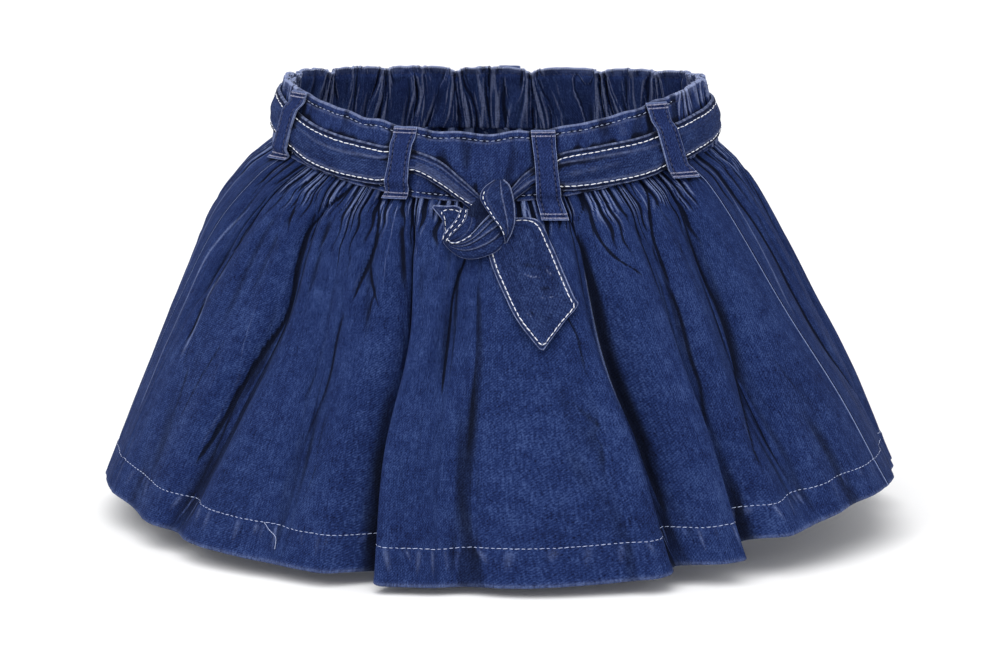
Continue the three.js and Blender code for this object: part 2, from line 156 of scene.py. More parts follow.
# Folds: where each lies across the cloth at its top and bottom, how far down it runs, its half width
# and depth at its top, middle and bottom, and its lean, which tucks it under the cloth at its side
FOLD_COLUMNS = "share share_low start end wide_top wide_low deep_top deep_mid deep_low lean"
FRONT_FOLDS = table(
    FOLD_COLUMNS,
    [0.04, 0.045, 0.04, 0.3, 5, 7, 1, 3, 1, 0],
    [0.085, 0.085, 0.08, 0.48, 6, 8, 1, 4, 1, 0],
    [0.14, 0.145, 0.4, 1.2, 14, 18, 0, 3, 5, 0],
    [0.185, 0.182, 0.05, 0.5, 5, 8, 0, -2, 0, 0],
    [0.205, 0.205, 0.0, 1.15, 5, 13, 4, 9, 7, 0.3],
    [0.265, 0.258, 0.0, 0.32, 4, 5, 1, 2.5, 1, 0],
    [0.325, 0.315, 0.3, 1.1, 6, 11, 1, 5, 3, 0],
    [0.345, 0.375, 0.0, 0.46, 4, 4.5, 2, 3.5, 1, 0],
    [0.41, 0.41, -0.02, 1.2, 5.5, 8, 3, 14, 22, 0.75],
    [0.432, 0.432, 0.0, 0.16, 3, 3, 1, 2, 1, 0],
    [0.455, 0.455, 0.4, 1.2, 9, 12, 0, -2, -3, 0],
    [0.51, 0.495, 0.14, 0.62, 4, 7, 1, 5, 0, -0.3],
    [0.545, 0.545, 0.15, 1.2, 9, 14, 1, 4, 4, 0],
    [0.61, 0.61, 0.35, 0.8, 12, 16, 0, 1.5, 1, 0],
    [0.638, 0.633, 0.36, 1.2, 6, 9, 0, -2.5, -2, 0],
    [0.7, 0.668, -0.02, 1.2, 7, 9.5, 3, 17, 9, -0.75],
    [0.745, 0.73, 0.0, 0.26, 4, 6, 2, 3, 1, 0],
    [0.775, 0.775, 0.4, 1.2, 8, 9, 0, -2, -4, 0],
    [0.805, 0.805, 0.0, 1.2, 5.5, 8.5, 2, 10, 18, -0.75],
    [0.89, 0.89, 0.0, 1.1, 6, 14, 3, 10, 5, 0],
    [0.945, 0.945, 0.3, 1.2, 10, 13, 0, 3, 3, 0],
)
BACK_FOLDS = table(
    FOLD_COLUMNS,
    [0.08, 0.09, 0.25, 1.2, 10, 16, 0, 3, 5, 0],
    [0.16, 0.16, 0.0, 1.15, 5, 11, 3, 8, 10, 0.2],
    [0.22, 0.23, 0.0, 0.35, 4, 5, 2, 3, 1, 0],
    [0.3, 0.3, -0.02, 1.2, 4, 9, 4, 13, 15, 0.6],
    [0.36, 0.37, 0.1, 0.75, 6, 10, 1, 5, 1, 0],
    [0.43, 0.43, 0.0, 1.2, 5, 13, 3, 7, 10, 0],
    [0.49, 0.49, 0.3, 1.2, 9, 14, 0, 4, 4, 0],
    [0.55, 0.55, 0.0, 1.2, 4, 9, 4, 12, 17, -0.7],
    [0.63, 0.62, 0.0, 0.5, 4, 8, 2, 4, 1, 0],
    [0.7, 0.7, 0.0, 1.15, 5, 12, 3, 10, 9, 0.2],
    [0.77, 0.77, 0.2, 1.2, 9, 14, 0, 4, 6, 0],
    [0.84, 0.84, -0.02, 1.2, 5, 10, 3, 11, 14, -0.5],
    [0.93, 0.92, 0.3, 1.2, 12, 16, 0, 3, 5, 0],
)

def path(text):
    """A line over a panel's cloth, from share/down pairs in thousandths."""
    return np.array([pair.split("/") for pair in text.split()], float) / 1000


# Sharp creases, listed one by one: depth (a ridge's is minus), width to the left and to the right in
# millimetres, and the line that each follows
FRONT_CREASES = [
    (depth, left, right, path(text))
    for depth, left, right, text in (
        (-0.78, 2.5, 4, "50/150 36/200 34/250 34/290 38/330 47/410 60/480 69/540"),
        (1.4, 2, 2, "17/20 28/50 36/80 37/115 40/160"),
        (1.3, 2.5, 4, "118/210 101/260 86/320 91/375 110/433 116/500 112/570"),
        (1.7, 1.5, 0.9, "96/0 103/60 100/110 103/150 112/190 113/235"),
        (-0.6, 0.8, 3, "119/0 124/30 129/63 124/103 123/148 125/204 111/254 85/318"),
        (-0.54, 1.5, 3, "142/0 143/30 148/70 150/113 158/148 170/196 183/260"),
        (1.1, 3, 2, "156/50 160/90 165/126 175/174 182/220"),
        (-0.54, 2.5, 0.7, "253/0 244/50 214/80 193/120 188/153 187/200 188/235"),
        (2.7, 0.9, 2.6,
            "261/10 252/45 225/100 200/139 197/178 198/255 202/318 203/373 198/431 193/481 190/592 "
            "189/663 187/751 184/836"),
        (-0.42, 3, 3, "284/80 268/130 260/170 259/207 261/250"),
        (2.6, 0.8, 2, "344/0 348/30 358/75 361/133 357/183 353/210 348/249 344/289 336/318"),
        (1.1, 1.5, 1.5, "357/188 365/247 373/289 384/347"),
        (1.0, 2, 3, "344/289 331/347 326/404 331/476 330/541 324/592 316/664 313/721"),
        (-0.8, 0.9, 1.6, "383/20 384/40 382/94 380/152 379/200 380/260"),
        (-0.8, 1, 0.7, "396/0 405/44 406/92 410/133 412/178"),
        (3.3, 0.9, 2.0, "416/0 424/76 425/143 419/197 410/274 406/361 406/469 408/600 408/750"),
        (-0.8, 0.8, 0.8, "430/0 432/63 438/101 435/131"),
        (-0.54, 1.2, 2.5, "459/30 450/90 447/126 447/165 454/210"),
        (2.5, 1.2, 1.4, "525/120 521/165 510/209 503/254 503/318 504/390 504/433 505/491 508/534"),
        (-0.54, 1.0, 2.5, "544/140 531/196 526/227 525/274 527/345 527/400"),
        (0.8, 7, 7, "547/200 548/316 549/404 548/505 548/602 546/700"),
        (-0.42, 2, 4, "569/240 569/311 567/390 566/480"),
        (1.1, 2, 3, "620/280 628/361 627/417 625/490"),
        (3.2, 1.0, 3.0,
            "655/0 667/44 686/103 696/150 698/200 699/254 699/317 699/383 699/447 698/518 698/580 "
            "698/658 695/756 693/880"),
        (-1.0, 2, 0.7,
            "677/0 679/31 687/73 691/127 692/197 694/259 695/330 695/398 694/475 693/549 691/634 "
            "689/720"),
        (1.7, 1.5, 1.5, "724/0 720/88 722/128 727/164 736/195 747/218 762/260"),
        (1.5, 1.0, 1.0, "742/30 749/55 765/72 795/89 825/108"),
        (2.8, 1, 1.4, "857/20 838/77 830/117 825/165 824/205 824/241 823/290"),
        (0.9, 1, 2, "822/280 825/361 824/433 823/489 823/554 816/620 800/717"),
        (-0.9, 1.2, 0.8, "838/0 836/37 835/71 833/104"),
        (-0.9, 1.5, 0.7, "868/0 864/44 862/69 859/90"),
        (3.6, 2.5, 7,
            "916/0 913/35 914/76 912/120 903/190 899/254 900/311 904/364 904/447 896/534 872/635 "
            "856/707 849/779 847/850"),
        (-0.54, 3, 1, "905/0 898/71 890/133 878/191 868/260"),
    )
]
# The back's creases are the front's turned round and moved to the back's own folds.
BACK_PLACES = (
    [0, 0.11, 0.195, 0.33, 0.48, 0.59, 0.685, 0.795, 1],
    [0, 0.08, 0.16, 0.3, 0.43, 0.55, 0.7, 0.84, 1],
)
BACK_CREASES = [
    (depth * 0.9, right, left, np.stack([np.interp(1 - line[:, 0], *BACK_PLACES), line[:, 1] * 1.1], -1))
    for depth, left, right, line in FRONT_CREASES
]
# Ridges so sharp that they're rubbed all along
FRONT_WORN = [
    path("60/140 45/220 40/320 45/450 52/600 57/780"),
    path("122/300 108/380 118/460 122/580"),
    path("694/200 696/300 695/420 692/600"),
]
BACK_WORN = [
    path("50/0 52/80 45/200 35/330 20/460"),
    path("955/20 950/100 958/250 972/420"),
]

GATHER_DEPTHS = table("down depth", [0, 1.8], [0.025, 2.9], [0.06, 2.2], [0.12, 1.0], [0.24, 0])
RUFFLE_DEPTHS = table("down depth", [0, 3.2], [0.5, 2.4], [1, 2.8])

# The belt's middle line and half width, from the knot round the back to the knot again
BELT_ROUTE = table(
    "angle height half",
    [6, -33.6, 2.8],
    [8.6, -30, 3],
    [11.3, -25, 3.9],
    [14.6, -20.7, 4.2],
    [19, -19.6, 7.4],
    [23, -18.6, 9],
    [32, -17, 9.5],
    [46, -13, 9.5],
    [60, -7, 9],
    [90, 1, 8.5],
    [130, 1, 9],
    [180, -1, 9],
    [230, 2, 9],
    [270, 4, 9],
    [298, -4, 9],
    [314, -12.5, 9.5],
    [334, -17.5, 9],
    [339.5, -16, 7.5],
    [343.8, -15.7, 5.2],
    [350.8, -20.9, 5.7],
    [356.6, -28.6, 5],
    [358.5, -31.3, 4.6],
    [361, -34.6, 3.5],
    [363.5, -37.2, 2.3],
)
LOOPS = {  # angle at the top and at the low end, and the low end's height
    "belt_loop_left_side": (-60, -64, -20),
    "belt_loop_left_front": (-19.5, -20.5, -33),
    "belt_loop_right_front": (17, 18, -41),
    "belt_loop_right_side": (52, 56, -24),
    "belt_loop_back": (180, 180, -18),
}
LONG_TAIL = table(
    "left_x left_z right_x right_z lift",
    [4, -48, 17, -40, 0.8],
    [7.5, -56, 30.5, -41, 0.9],
    [11, -64, 37.8, -52, 1.1],
    [16, -73, 44, -64, 1.4],
    [20.5, -80.5, 49.6, -74.6, 1.7],
    [24, -85.5, 51.8, -78.6, 1.8],
    [29, -91.2, 46, -85.6, 2.0],
    [35.3, -97.6, 36.7, -98, 2.2],
)
SHORT_TAIL = table(
    "left_x left_z right_x right_z lift",
    [-6, -37, -7, -43, 0.8],
    [-10, -35.3, -13.5, -49.5, 0.9],
    [-14.5, -35.5, -15.5, -42, 1.2],
    [-21, -35.3, -21.4, -36, 1.6],
)
KNOT = {"x": 3.0, "z": -41.0, "half_width": 14.5, "half_height": 16.0, "lift": 2.5}
# Creases across the long end, pressed in while it was tied: rise, width, and where each starts and ends
LONG_CREASES = [
    (0.6, 0.45, (22, -63, 37, -67)),
    (-0.35, 0.5, (20, -60, 37, -64)),
    (0.55, 0.4, (33, -60, 42, -68)),
    (0.5, 0.4, (30, -74, 46, -75)),
    (-0.3, 0.5, (28, -71, 45, -73)),
    (0.5, 0.4, (25, -79, 33, -86)),
    (-0.3, 0.5, (27, -78, 37, -88)),
    (0.25, 0.3, (15, -55, 24, -51)),
    (-0.25, 0.4, (24, -49, 33, -52)),
]

# The belt's turns in the knot, each from its left or outer edge to its right or inner one, with the lift
# of both edges, how much it crowns between them, and the grooves along it as (place across, depth, width)
TURN_COLUMNS = "left_x left_z left_lift right_x right_z right_lift crown"
KNOT_TURNS = {
    "wrap": (
        table(
            TURN_COLUMNS,
            [8.2, -22.8, 2.5, 13.2, -22.6, 2.5, 1.2],
            [4.2, -25.6, 6.5, 16.4, -25.0, 4.5, 3.8],
            [2.7, -29.3, 10.2, 18.3, -30.0, 6.0, 4.2],
            [4.6, -32.8, 12.4, 19.4, -35.5, 6.5, 2.8],
            [9.2, -38.0, 12.8, 19.9, -41.0, 6.0, 2.4],
            [13.6, -43.0, 11.6, 18.9, -45.6, 5.2, 1.6],
            [15.4, -47.6, 8.5, 17.2, -49.4, 4.4, 0.7],
            [15.4, -51.4, 3.4, 15.8, -51.8, 3.0, 0.1],
        ),
        [(0.2, 0.35, 0.05), (0.62, 0.8, 0.03)],
    ),
    "lobe": (
        table(
            TURN_COLUMNS,
            [-14.9, -49.2, 2.6, -12.6, -48.6, 5.0, 0.3],
            [-14.3, -51.6, 3.4, -10.5, -50.6, 7.0, 1.0],
            [-10.4, -55.2, 3.2, -6.6, -50.0, 8.4, 2.2],
            [-5.1, -58.0, 3.0, -2.2, -47.6, 8.8, 3.0],
            [0.5, -58.5, 3.0, 1.2, -44.6, 9.2, 3.4],
            [6.2, -57.3, 3.0, 3.9, -41.4, 9.4, 3.4],
            [11.0, -55.4, 3.0, 6.5, -38.6, 9.2, 2.8],
            [14.8, -52.0, 3.0, 9.0, -37.0, 8.6, 2.0],
            [18.0, -47.0, 2.4, 13.0, -37.0, 7.4, 1.0],
        ),
        [(0.34, 0.9, 0.03), (0.56, 1.1, 0.03), (0.76, 1.1, 0.03), (0.9, 0.7, 0.03)],
    ),
    "inside": (
        table(
            TURN_COLUMNS,
            [-5.0, -36.8, 4.6, 0.0, -37.4, 3.4, 0.4],
            [-5.6, -40.4, 6.0, 2.2, -41.4, 4.6, 1.4],
            [-8.0, -44.8, 6.6, 0.8, -45.6, 6.4, 1.6],
            [-11.4, -47.8, 6.2, -4.0, -49.4, 6.6, 1.2],
            [-14.2, -50.0, 4.2, -9.8, -51.6, 5.0, 0.4],
        ),
        [(0.55, 0.5, 0.08)],
    ),
    "rolled_edge": (
        table(
            TURN_COLUMNS,
            [-7.6, -36.6, 4.6, -3.4, -36.2, 5.4, 0.8],
            [-8.4, -39.6, 6.2, -3.9, -40.6, 7.0, 1.3],
            [-11.0, -43.2, 6.8, -7.6, -44.8, 7.6, 1.3],
            [-14.2, -46.8, 6.0, -10.8, -48.0, 7.0, 1.2],
            [-15.4, -50.2, 3.6, -12.6, -51.4, 5.0, 0.6],
        ),
        [(0.5, 0.5, 0.05)],
    ),
}


# ---- How the skirt's surfaces run ----


def mix(a, b, t):
    return a + (b - a) * t


def smooth(t):
    s = np.clip(t, 0, 1)
    return s * s * (3 - 2 * s)


def bell(away, wide):
    """1 in the middle, falling away smoothly."""
    return np.exp(-((away / wide) ** 2))


def peak(away, wide):
    """1 in the middle, falling away from a sharp point."""
    return np.exp(-np.abs(away) / wide)


def waved(turn):
    """A wave that is 1 at each half turn and 0 at each whole one."""
    return (1 - np.cos(2 * np.pi * turn)) / 2


def between(at, xs):
    """The row below each value, and how far it is to the next."""
    i = np.clip(np.searchsorted(xs, at, side="right") - 1, 0, len(xs) - 2)
    return i, (at - xs[i]) / (xs[i + 1] - xs[i])


def curve_through(at, xs, ys):
    """A smooth curve through a table's points."""
    xs, ys = np.asarray(xs, float), np.asarray(ys, float)
    rows = np.arange(len(xs))
    below, above = np.maximum(rows - 1, 0), np.minimum(rows + 1, len(xs) - 1)
    slope = (ys[above] - ys[below]) / (xs[above] - xs[below])
    i, t = between(np.asarray(at, float), xs)
    t = np.clip(t, 0, 1)
    step = xs[i + 1] - xs[i]
    return (
        (2 * t**3 - 3 * t**2 + 1) * ys[i]
        + (t**3 - 2 * t**2 + t) * step * slope[i]
        + (3 * t**2 - 2 * t**3) * ys[i + 1]
        + (t**3 - t**2) * step * slope[i + 1]
    )


def sin_cos(angle):
    return np.sin(np.radians(angle)), np.cos(np.radians(angle))


def half_sizes(ring, angle):
    """A ring's half width and half depth in the quarter that an angle lies in, with its sine and cosine."""
    sin, cos = sin_cos(angle)
    half = np.where(sin > 0, ring["right"], ring["left"])
    return half, np.where(cos > 0, ring["front"], ring["back"]), sin, cos


def edge_height(edge, angle):
    """The height of an edge that is given at its left, right, front and back."""
    sin, cos = sin_cos(angle)
    side = np.where(sin > 0, edge["right"], edge["left"])
    return side + (np.where(cos > 0, edge["front"], edge["back"]) - side) * cos * cos


def skirt_ring(down):
    return {side: curve_through(down, OUTLINE["down"], OUTLINE[side]) for side in SIDES}


def band_ring(down):
    return {side: mix(BAND_TOP[side], OUTLINE[side][0], down) for side in SIDES}


def on_ring(ring, angle, height, out=0.0, along=0.0):
    """A point on a ring, moved outwards and along it."""
    half, depth, sin, cos = half_sizes(ring, angle)
    size = np.hypot(depth * sin, half * cos)
    nx, ny = depth * sin / size, -half * cos / size
    x = half * sin + nx * out - ny * along
    y = -depth * cos + ny * out + nx * along
    return np.stack(np.broadcast_arrays(x, y, height), axis=-1)


def ring_scale(ring, angle):
    """Millimetres round the ring for each degree."""
    half, depth, sin, cos = half_sizes(ring, angle)
    return np.radians(np.hypot(half * cos, depth * sin))


def seam_height(angle):
    return edge_height(TOP_EDGE, angle) - BAND_DEPTH


def skirt_height(angle, down):
    i, t = between((angle + 180) % 360 - 180, HEM_LIFT["angle"])
    lift = mix(HEM_LIFT["lift"][i], HEM_LIFT["lift"][i + 1], smooth(t))
    return mix(seam_height(angle) - SEAM_GAP, edge_height(HEM_EDGE, angle) + lift * down**2, down)


def grain_angle(grain, share, down):
    """The grain crowds towards each of its lines, where the main folds lie."""
    share, down = np.broadcast_arrays(share, down)
    i, t = between(share, grain["share"])
    lines = np.array([grain[key] for key in ("waist", "third", "two_thirds", "hem")])
    every = np.stack([curve_through(down, [0, 1 / 3, 2 / 3, 1], line) for line in lines.T])
    low = np.take_along_axis(every, i[None], 0)[0]
    high = np.take_along_axis(every, i[None] + 1, 0)[0]
    return mix(low, high, t - CROWDING * np.sin(2 * np.pi * t) / (2 * np.pi))


def uneven(number):
    """A fixed unevenness from 0 to 1 for each number, so that no two gathers are the same."""
    wave = np.sin(number * 12.9898) * 43758.5453
    return wave - np.floor(wave)


def beside_seam(share):
    """0 at the side seams and 1 away from them."""
    return smooth(share * SEAM_FADE) * smooth((1 - share) * SEAM_FADE)


def seam_shift(share):
    """How far the cloth is drawn back along the ring at its side seams, which leaves the gap."""
    return SEAM_GAP / 2 * (1 - beside_seam(share)) * np.where(share < 0.5, 1, -1)


def ripples(across, along, length, seed, stretch=2.5):
    """Soft unevenness from -1 to 1, longer along the cloth than across it."""
    random = np.random.default_rng(seed)
    total, count = 0.0, 9
    warp = 0.35 * np.sin(along / (length * 1.7) + seed) + 0.3 * np.sin(across / (length * 1.3) + 2 * seed)
    for _ in range(count):
        turn, phase, size = random.uniform(-1, 1), random.uniform(0, 2 * np.pi), random.uniform(0.6, 1.6)
        wave = 2 * np.pi * (across / size + along * turn / stretch) / length
        total = total + np.sin(wave + phase + warp * 2)
    return total / math.sqrt(count) / 1.4


def over_skirt(angle, height, lift):
    """A point lifted off the band, or off the panel below the seam."""
    seam = seam_height(angle)
    band = band_ring((edge_height(TOP_EDGE, angle) - height) / BAND_DEPTH)
    skirt = skirt_ring(np.clip((seam - height) / (seam - edge_height(HEM_EDGE, angle)), 0, 1))
    ring = {side: np.where(height > seam, band[side], skirt[side]) for side in SIDES}
    return on_ring(ring, angle, height, lift)


def over_front(x, height, lift):
    """The same, for a point of the front given by its x, which the angle is tried and mended for."""
    angle = np.zeros(np.broadcast(x, height, lift).shape)
    near_half_width = 115
    for _ in range(7):
        angle = angle + np.degrees((x - over_skirt(angle, height, lift)[..., 0]) / near_half_width)
    return over_skirt(angle, height, lift)


def belt_middle(angle):
    """The height of the belt's middle line, and its half width."""
    return tuple(curve_through(angle, BELT_ROUTE["angle"], BELT_ROUTE[key]) for key in ("height", "half"))


def painted_belt_shade(angle, height):
    """How much painted shade a place at the waist gets under the belt and in the rim beside it."""
    middle, half = belt_middle(np.clip(np.mod(angle, 360), BELT_ROUTE["angle"][0], 358))
    return smooth((half + SHADE_RIM - np.abs(height - middle)) / SHADE_RIM)


def painted_loop_shade(angle, height):
    """How much painted shade a place at the waist gets under a belt loop and in the rim beside it."""
    cover = np.zeros(np.shape(angle))
    for angle_top, angle_low, low_end in LOOPS.values():
        top_end = edge_height(TOP_EDGE, angle_top)
        middle = mix(angle_top, angle_low, (top_end - height) / (top_end - low_end))
        away = np.abs((angle - middle + 180) % 360 - 180) * ring_scale(skirt_ring(0.0), angle)
        beside = smooth((LOOP_WIDTH / 2 + SHADE_RIM - away) / SHADE_RIM)
        cover = np.maximum(cover, beside * smooth((height - low_end + SHADE_RIM) / SHADE_RIM))
    return cover


# Painted shade under and beside the belt and the loops
def in_shade(angle, height):
    return np.maximum(painted_belt_shade(angle, height), painted_loop_shade(angle, height))


def spread(values, reach):
    """Values evened out across the columns."""
    padded = np.pad(values, ((0, 0), (reach + 1, reach)), mode="edge")
    sums = np.cumsum(padded, axis=1)
    return (sums[:, 2 * reach + 1 :] - sums[:, : -2 * reach - 1]) / (2 * reach + 1)


def rubbed_and_shaded(height, *scales):
    """How far a face stands above the cloth beside it, for each reach in columns: over a height in
    millimetres, a ridge counts by one weight and a valley by another. This is the crest: the denim pales its
    ridges as wear and darkens its valleys with painted shade."""
    total = 0.0
    for reach, over, ridge, valley in scales:
        part = np.tanh((height - spread(height, reach)) / over)
        total = total + np.where(part > 0, ridge, valley) * part
    return total


def edged(count):
    """Places from -1 to 1 that crowd towards both edges."""
    return np.sin(np.linspace(-np.pi / 2, np.pi / 2, count))


def edged_row(place, count):
    """Which of those places, in rows, a value is at."""
    return (np.arcsin(np.clip(place, -1, 1)) / np.pi + 0.5) * (count - 1)


def unit(vectors):
    return vectors / np.maximum(np.linalg.norm(vectors, axis=-1, keepdims=True), 1e-9)


def way_out(points):
    """The way out of a grid of points whose rows run down and columns run round."""
    return unit(np.cross(np.gradient(points, axis=0), np.gradient(points, axis=1)))


# ---- Making cloth ----


class Cloth:
    """Closed walls of cloth that become one object, with a UV map along the cloth and how worn it is."""

    edge_turns = 4  # points round an edge, between the two faces

    def __init__(self):
        self.points, self.faces, self.uvs, self.crests, self.wears, self.flat = [], [], [], [], [], []
        self.count = 0

    def add(self, points, blocks, uv, crest, wear, flat=()):
        """Adds points and blocks of faces; the blocks whose number is in flat get flat shading."""
        for number, faces in enumerate(blocks):
            self.faces += (faces + self.count).tolist()
            self.flat += [number in flat] * len(faces)
        self.points.append(points)
        self.uvs.append(uv)
        self.crests.append(np.broadcast_to(crest, len(points)))
        self.wears.append(np.broadcast_to(wear, len(points)))
        self.count += len(points)

    def wall(self, outer, inner, uv, crest, wear, bulge=0.5, thin=1, inside=None, flip=False):
        """A wall between two grids, with rounded upper and lower edges. Rows run down and columns round,
        or rows up with flip. The inner face may have only every second column, which is thin=2, and a
        crest of its own, which is inside."""
        grids = [outer, inner, np.stack(uv, -1), crest, np.clip(wear, 0, 1)]
        outer, inner, uv, crest, wear = (grid[::-1] if flip else grid for grid in grids)
        inside = -crest if inside is None else inside

        def rounded(edge, beside):
            middle, half = (outer[edge] + inner[edge]) / 2, (outer[edge] - inner[edge]) / 2
            away = unit(outer[edge] - outer[beside] + inner[edge] - inner[beside])
            reach = np.linalg.norm(half, axis=-1, keepdims=True) * bulge
            turn = np.linspace(0, np.pi, self.edge_turns + 2)[1:-1]
            return [middle + half * math.cos(t) + away * reach * math.sin(t) for t in turn]

        def widened(grid):
            return np.concatenate([np.repeat(grid[:1], h, 0), grid, np.repeat(grid[-1:], h, 0)])

        def quads(grid):
            return np.stack([grid[:-1, :-1], grid[1:, :-1], grid[1:, 1:], grid[:-1, 1:]], -1).reshape(-1, 4)

        def both(grid, other=None):
            sides = [grid, (grid if other is None else other)[:, ::thin]]
            return np.concatenate([side.reshape(-1, *grid.shape[2:]) for side in sides])

        above, below = rounded(0, 1), rounded(-1, -2)
        h = self.edge_turns // 2
        front = np.concatenate([above[:h][::-1], outer, below[:h]])
        behind = np.concatenate([above[h:], inner, below[h:][::-1]])[:, ::thin]
        number = np.arange(front.size // 3).reshape(front.shape[:2])
        back_number = number.size + np.arange(behind.size // 3).reshape(behind.shape[:2])
        top, low = (
            [row[k : len(row) - thin + k : thin] for k in range(thin)] + [row[thin::thin]]
            for row in (number[0], number[-1])
        )
        blocks = [
            quads(number),
            quads(back_number)[:, ::-1],
            np.stack([back_number[0, :-1], *top, back_number[0, 1:]], -1),
            np.stack([*low, back_number[-1, 1:], back_number[-1, :-1]], -1)[:, ::-1],
            quads(np.stack([back_number[:, 0], number[:, 0]], 1)),
            quads(np.stack([number[:, -1], back_number[:, -1]], 1)),
        ]
        points = np.concatenate([front.reshape(-1, 3), behind.reshape(-1, 3)])
        crests = both(widened(crest), widened(inside))
        self.add(points, blocks, both(widened(uv)), crests, both(widened(wear)), flat=(4, 5))

    def make(self, node, material):
        """The object, which replaces a node of the frame and has its name."""
        name = f"{node}_cloth"
        mesh = bpy.data.meshes.new(name)
        mesh.from_pydata((np.concatenate(self.points) * 0.001).tolist(), [], self.faces)
        corners = np.empty(len(mesh.loops), np.int32)
        mesh.loops.foreach_get("vertex_index", corners)
        uv = mesh.uv_layers.new(name="cloth")
        uv.data.foreach_set("uv", (np.concatenate(self.uvs)[corners] * 0.001).astype(np.float32).ravel())
        for key, values in (("crest", self.crests), ("wear", self.wears)):
            attribute = mesh.attributes.new(key, "FLOAT", "POINT")
            attribute.data.foreach_set("value", np.concatenate(values).astype(np.float32))
        mesh.polygons.foreach_set("use_smooth", ~np.array(self.flat))
        mesh.materials.append(material)
        mesh.update()
        piece = new_object(name, mesh)
        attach(piece, "root")
        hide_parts(node)
        return piece


def new_object(name, data):
    piece = bpy.data.objects.new(name, data)
    bpy.context.collection.objects.link(piece)
    return piece


def one_wall(node, material, slot, *grids, **given):
    """An object of one wall."""
    cloth = Cloth()
    cloth.wall(*grids, **given)
    return cloth.make(node, material)


def unit_ball(rounds):
    """A unit ball of triangles, from an eight-sided one cut finer."""
    points = [(1, 0, 0), (-1, 0, 0), (0, 1, 0), (0, -1, 0), (0, 0, 1), (0, 0, -1)]
    faces = [(0, 2, 4), (2, 1, 4), (1, 3, 4), (3, 0, 4), (2, 0, 5), (1, 2, 5), (3, 1, 5), (0, 3, 5)]
    for _ in range(rounds):
        middles, finer = {}, []
        for one, two, three in faces:
            cut = []
            for a, b in ((one, two), (two, three), (three, one)):
                key = (min(a, b), max(a, b))
                if key not in middles:
                    middle = np.add(points[a], points[b])
                    points.append(tuple(middle / np.linalg.norm(middle)))
                    middles[key] = len(points) - 1
                cut.append(middles[key])
            finer += [(one, cut[0], cut[2]), (two, cut[1], cut[0]), (three, cut[2], cut[1]), tuple(cut)]
        faces = finer
    return np.array(points, float), np.array(faces)


# ---- Materials ----


def srgb(colour):
    """An sRGB hex colour as the linear one that a shader takes."""
    parts = [int(colour[i : i + 2], 16) / 255 for i in (1, 3, 5)]
    return (*[c / 12.92 if c <= 0.04045 else ((c + 0.055) / 1.055) ** 2.4 for c in parts], 1.0)


def add_node(tree, kind, inputs=None, out=0, **settings):
    """Adds a node with its settings, links or sets its inputs by name or number, and returns an output."""
    node = tree.nodes.new(kind)
    for key, value in settings.items():
        setattr(node, key, value)
    for key, value in (inputs or {}).items():
        if isinstance(value, bpy.types.NodeSocket):
            tree.links.new(value, node.inputs[key])
        else:
            node.inputs[key].default_value = value
    return node.outputs[out] if len(node.outputs) else None


def calc(tree, operation, *values, **settings):
    return add_node(tree, "ShaderNodeMath", dict(enumerate(values)), operation=operation, **settings)


def total(tree, *parts):
    """A weighted sum of values."""
    result = 0.0
    for value, weight in parts:
        result = calc(tree, "MULTIPLY_ADD", value, weight, result)
    return result


def mapped(tree, *values, **settings):
    """A value taken from one range to another, given as low, high, low, high."""
    return add_node(tree, "ShaderNodeMapRange", dict(enumerate(values)), **settings)


def blend(tree, share, first, second):
    return add_node(tree, "ShaderNodeMix", {0: share, 6: first, 7: second}, 2, data_type="RGBA")


def noise(tree, place, scale, detail, roughness=0.5):
    """Noise of one scale, or of a scale for each way along the cloth."""
    if isinstance(scale, tuple):
        place = add_node(tree, "ShaderNodeVectorMath", {0: place, 1: scale}, operation="MULTIPLY")
        scale = 1
    inputs = {"Vector": place, "Scale": scale, "Detail": detail, "Roughness": roughness}
    return add_node(tree, "ShaderNodeTexNoise", inputs)


def attribute(tree, name):
    return add_node(tree, "ShaderNodeAttribute", out="Fac", attribute_name=name)


def new_material(name):
    material = bpy.data.materials.new(name)
    material.use_nodes = True
    material.node_tree.nodes.clear()
    return material, material.node_tree


def finish_material(tree, **inputs):
    """The surface, from the inputs by name."""
    named = {key.replace("_", " "): value for key, value in inputs.items()}
    shader = add_node(tree, "ShaderNodeBsdfPrincipled", named)
    add_node(tree, "ShaderNodeOutputMaterial", {"Surface": shader})


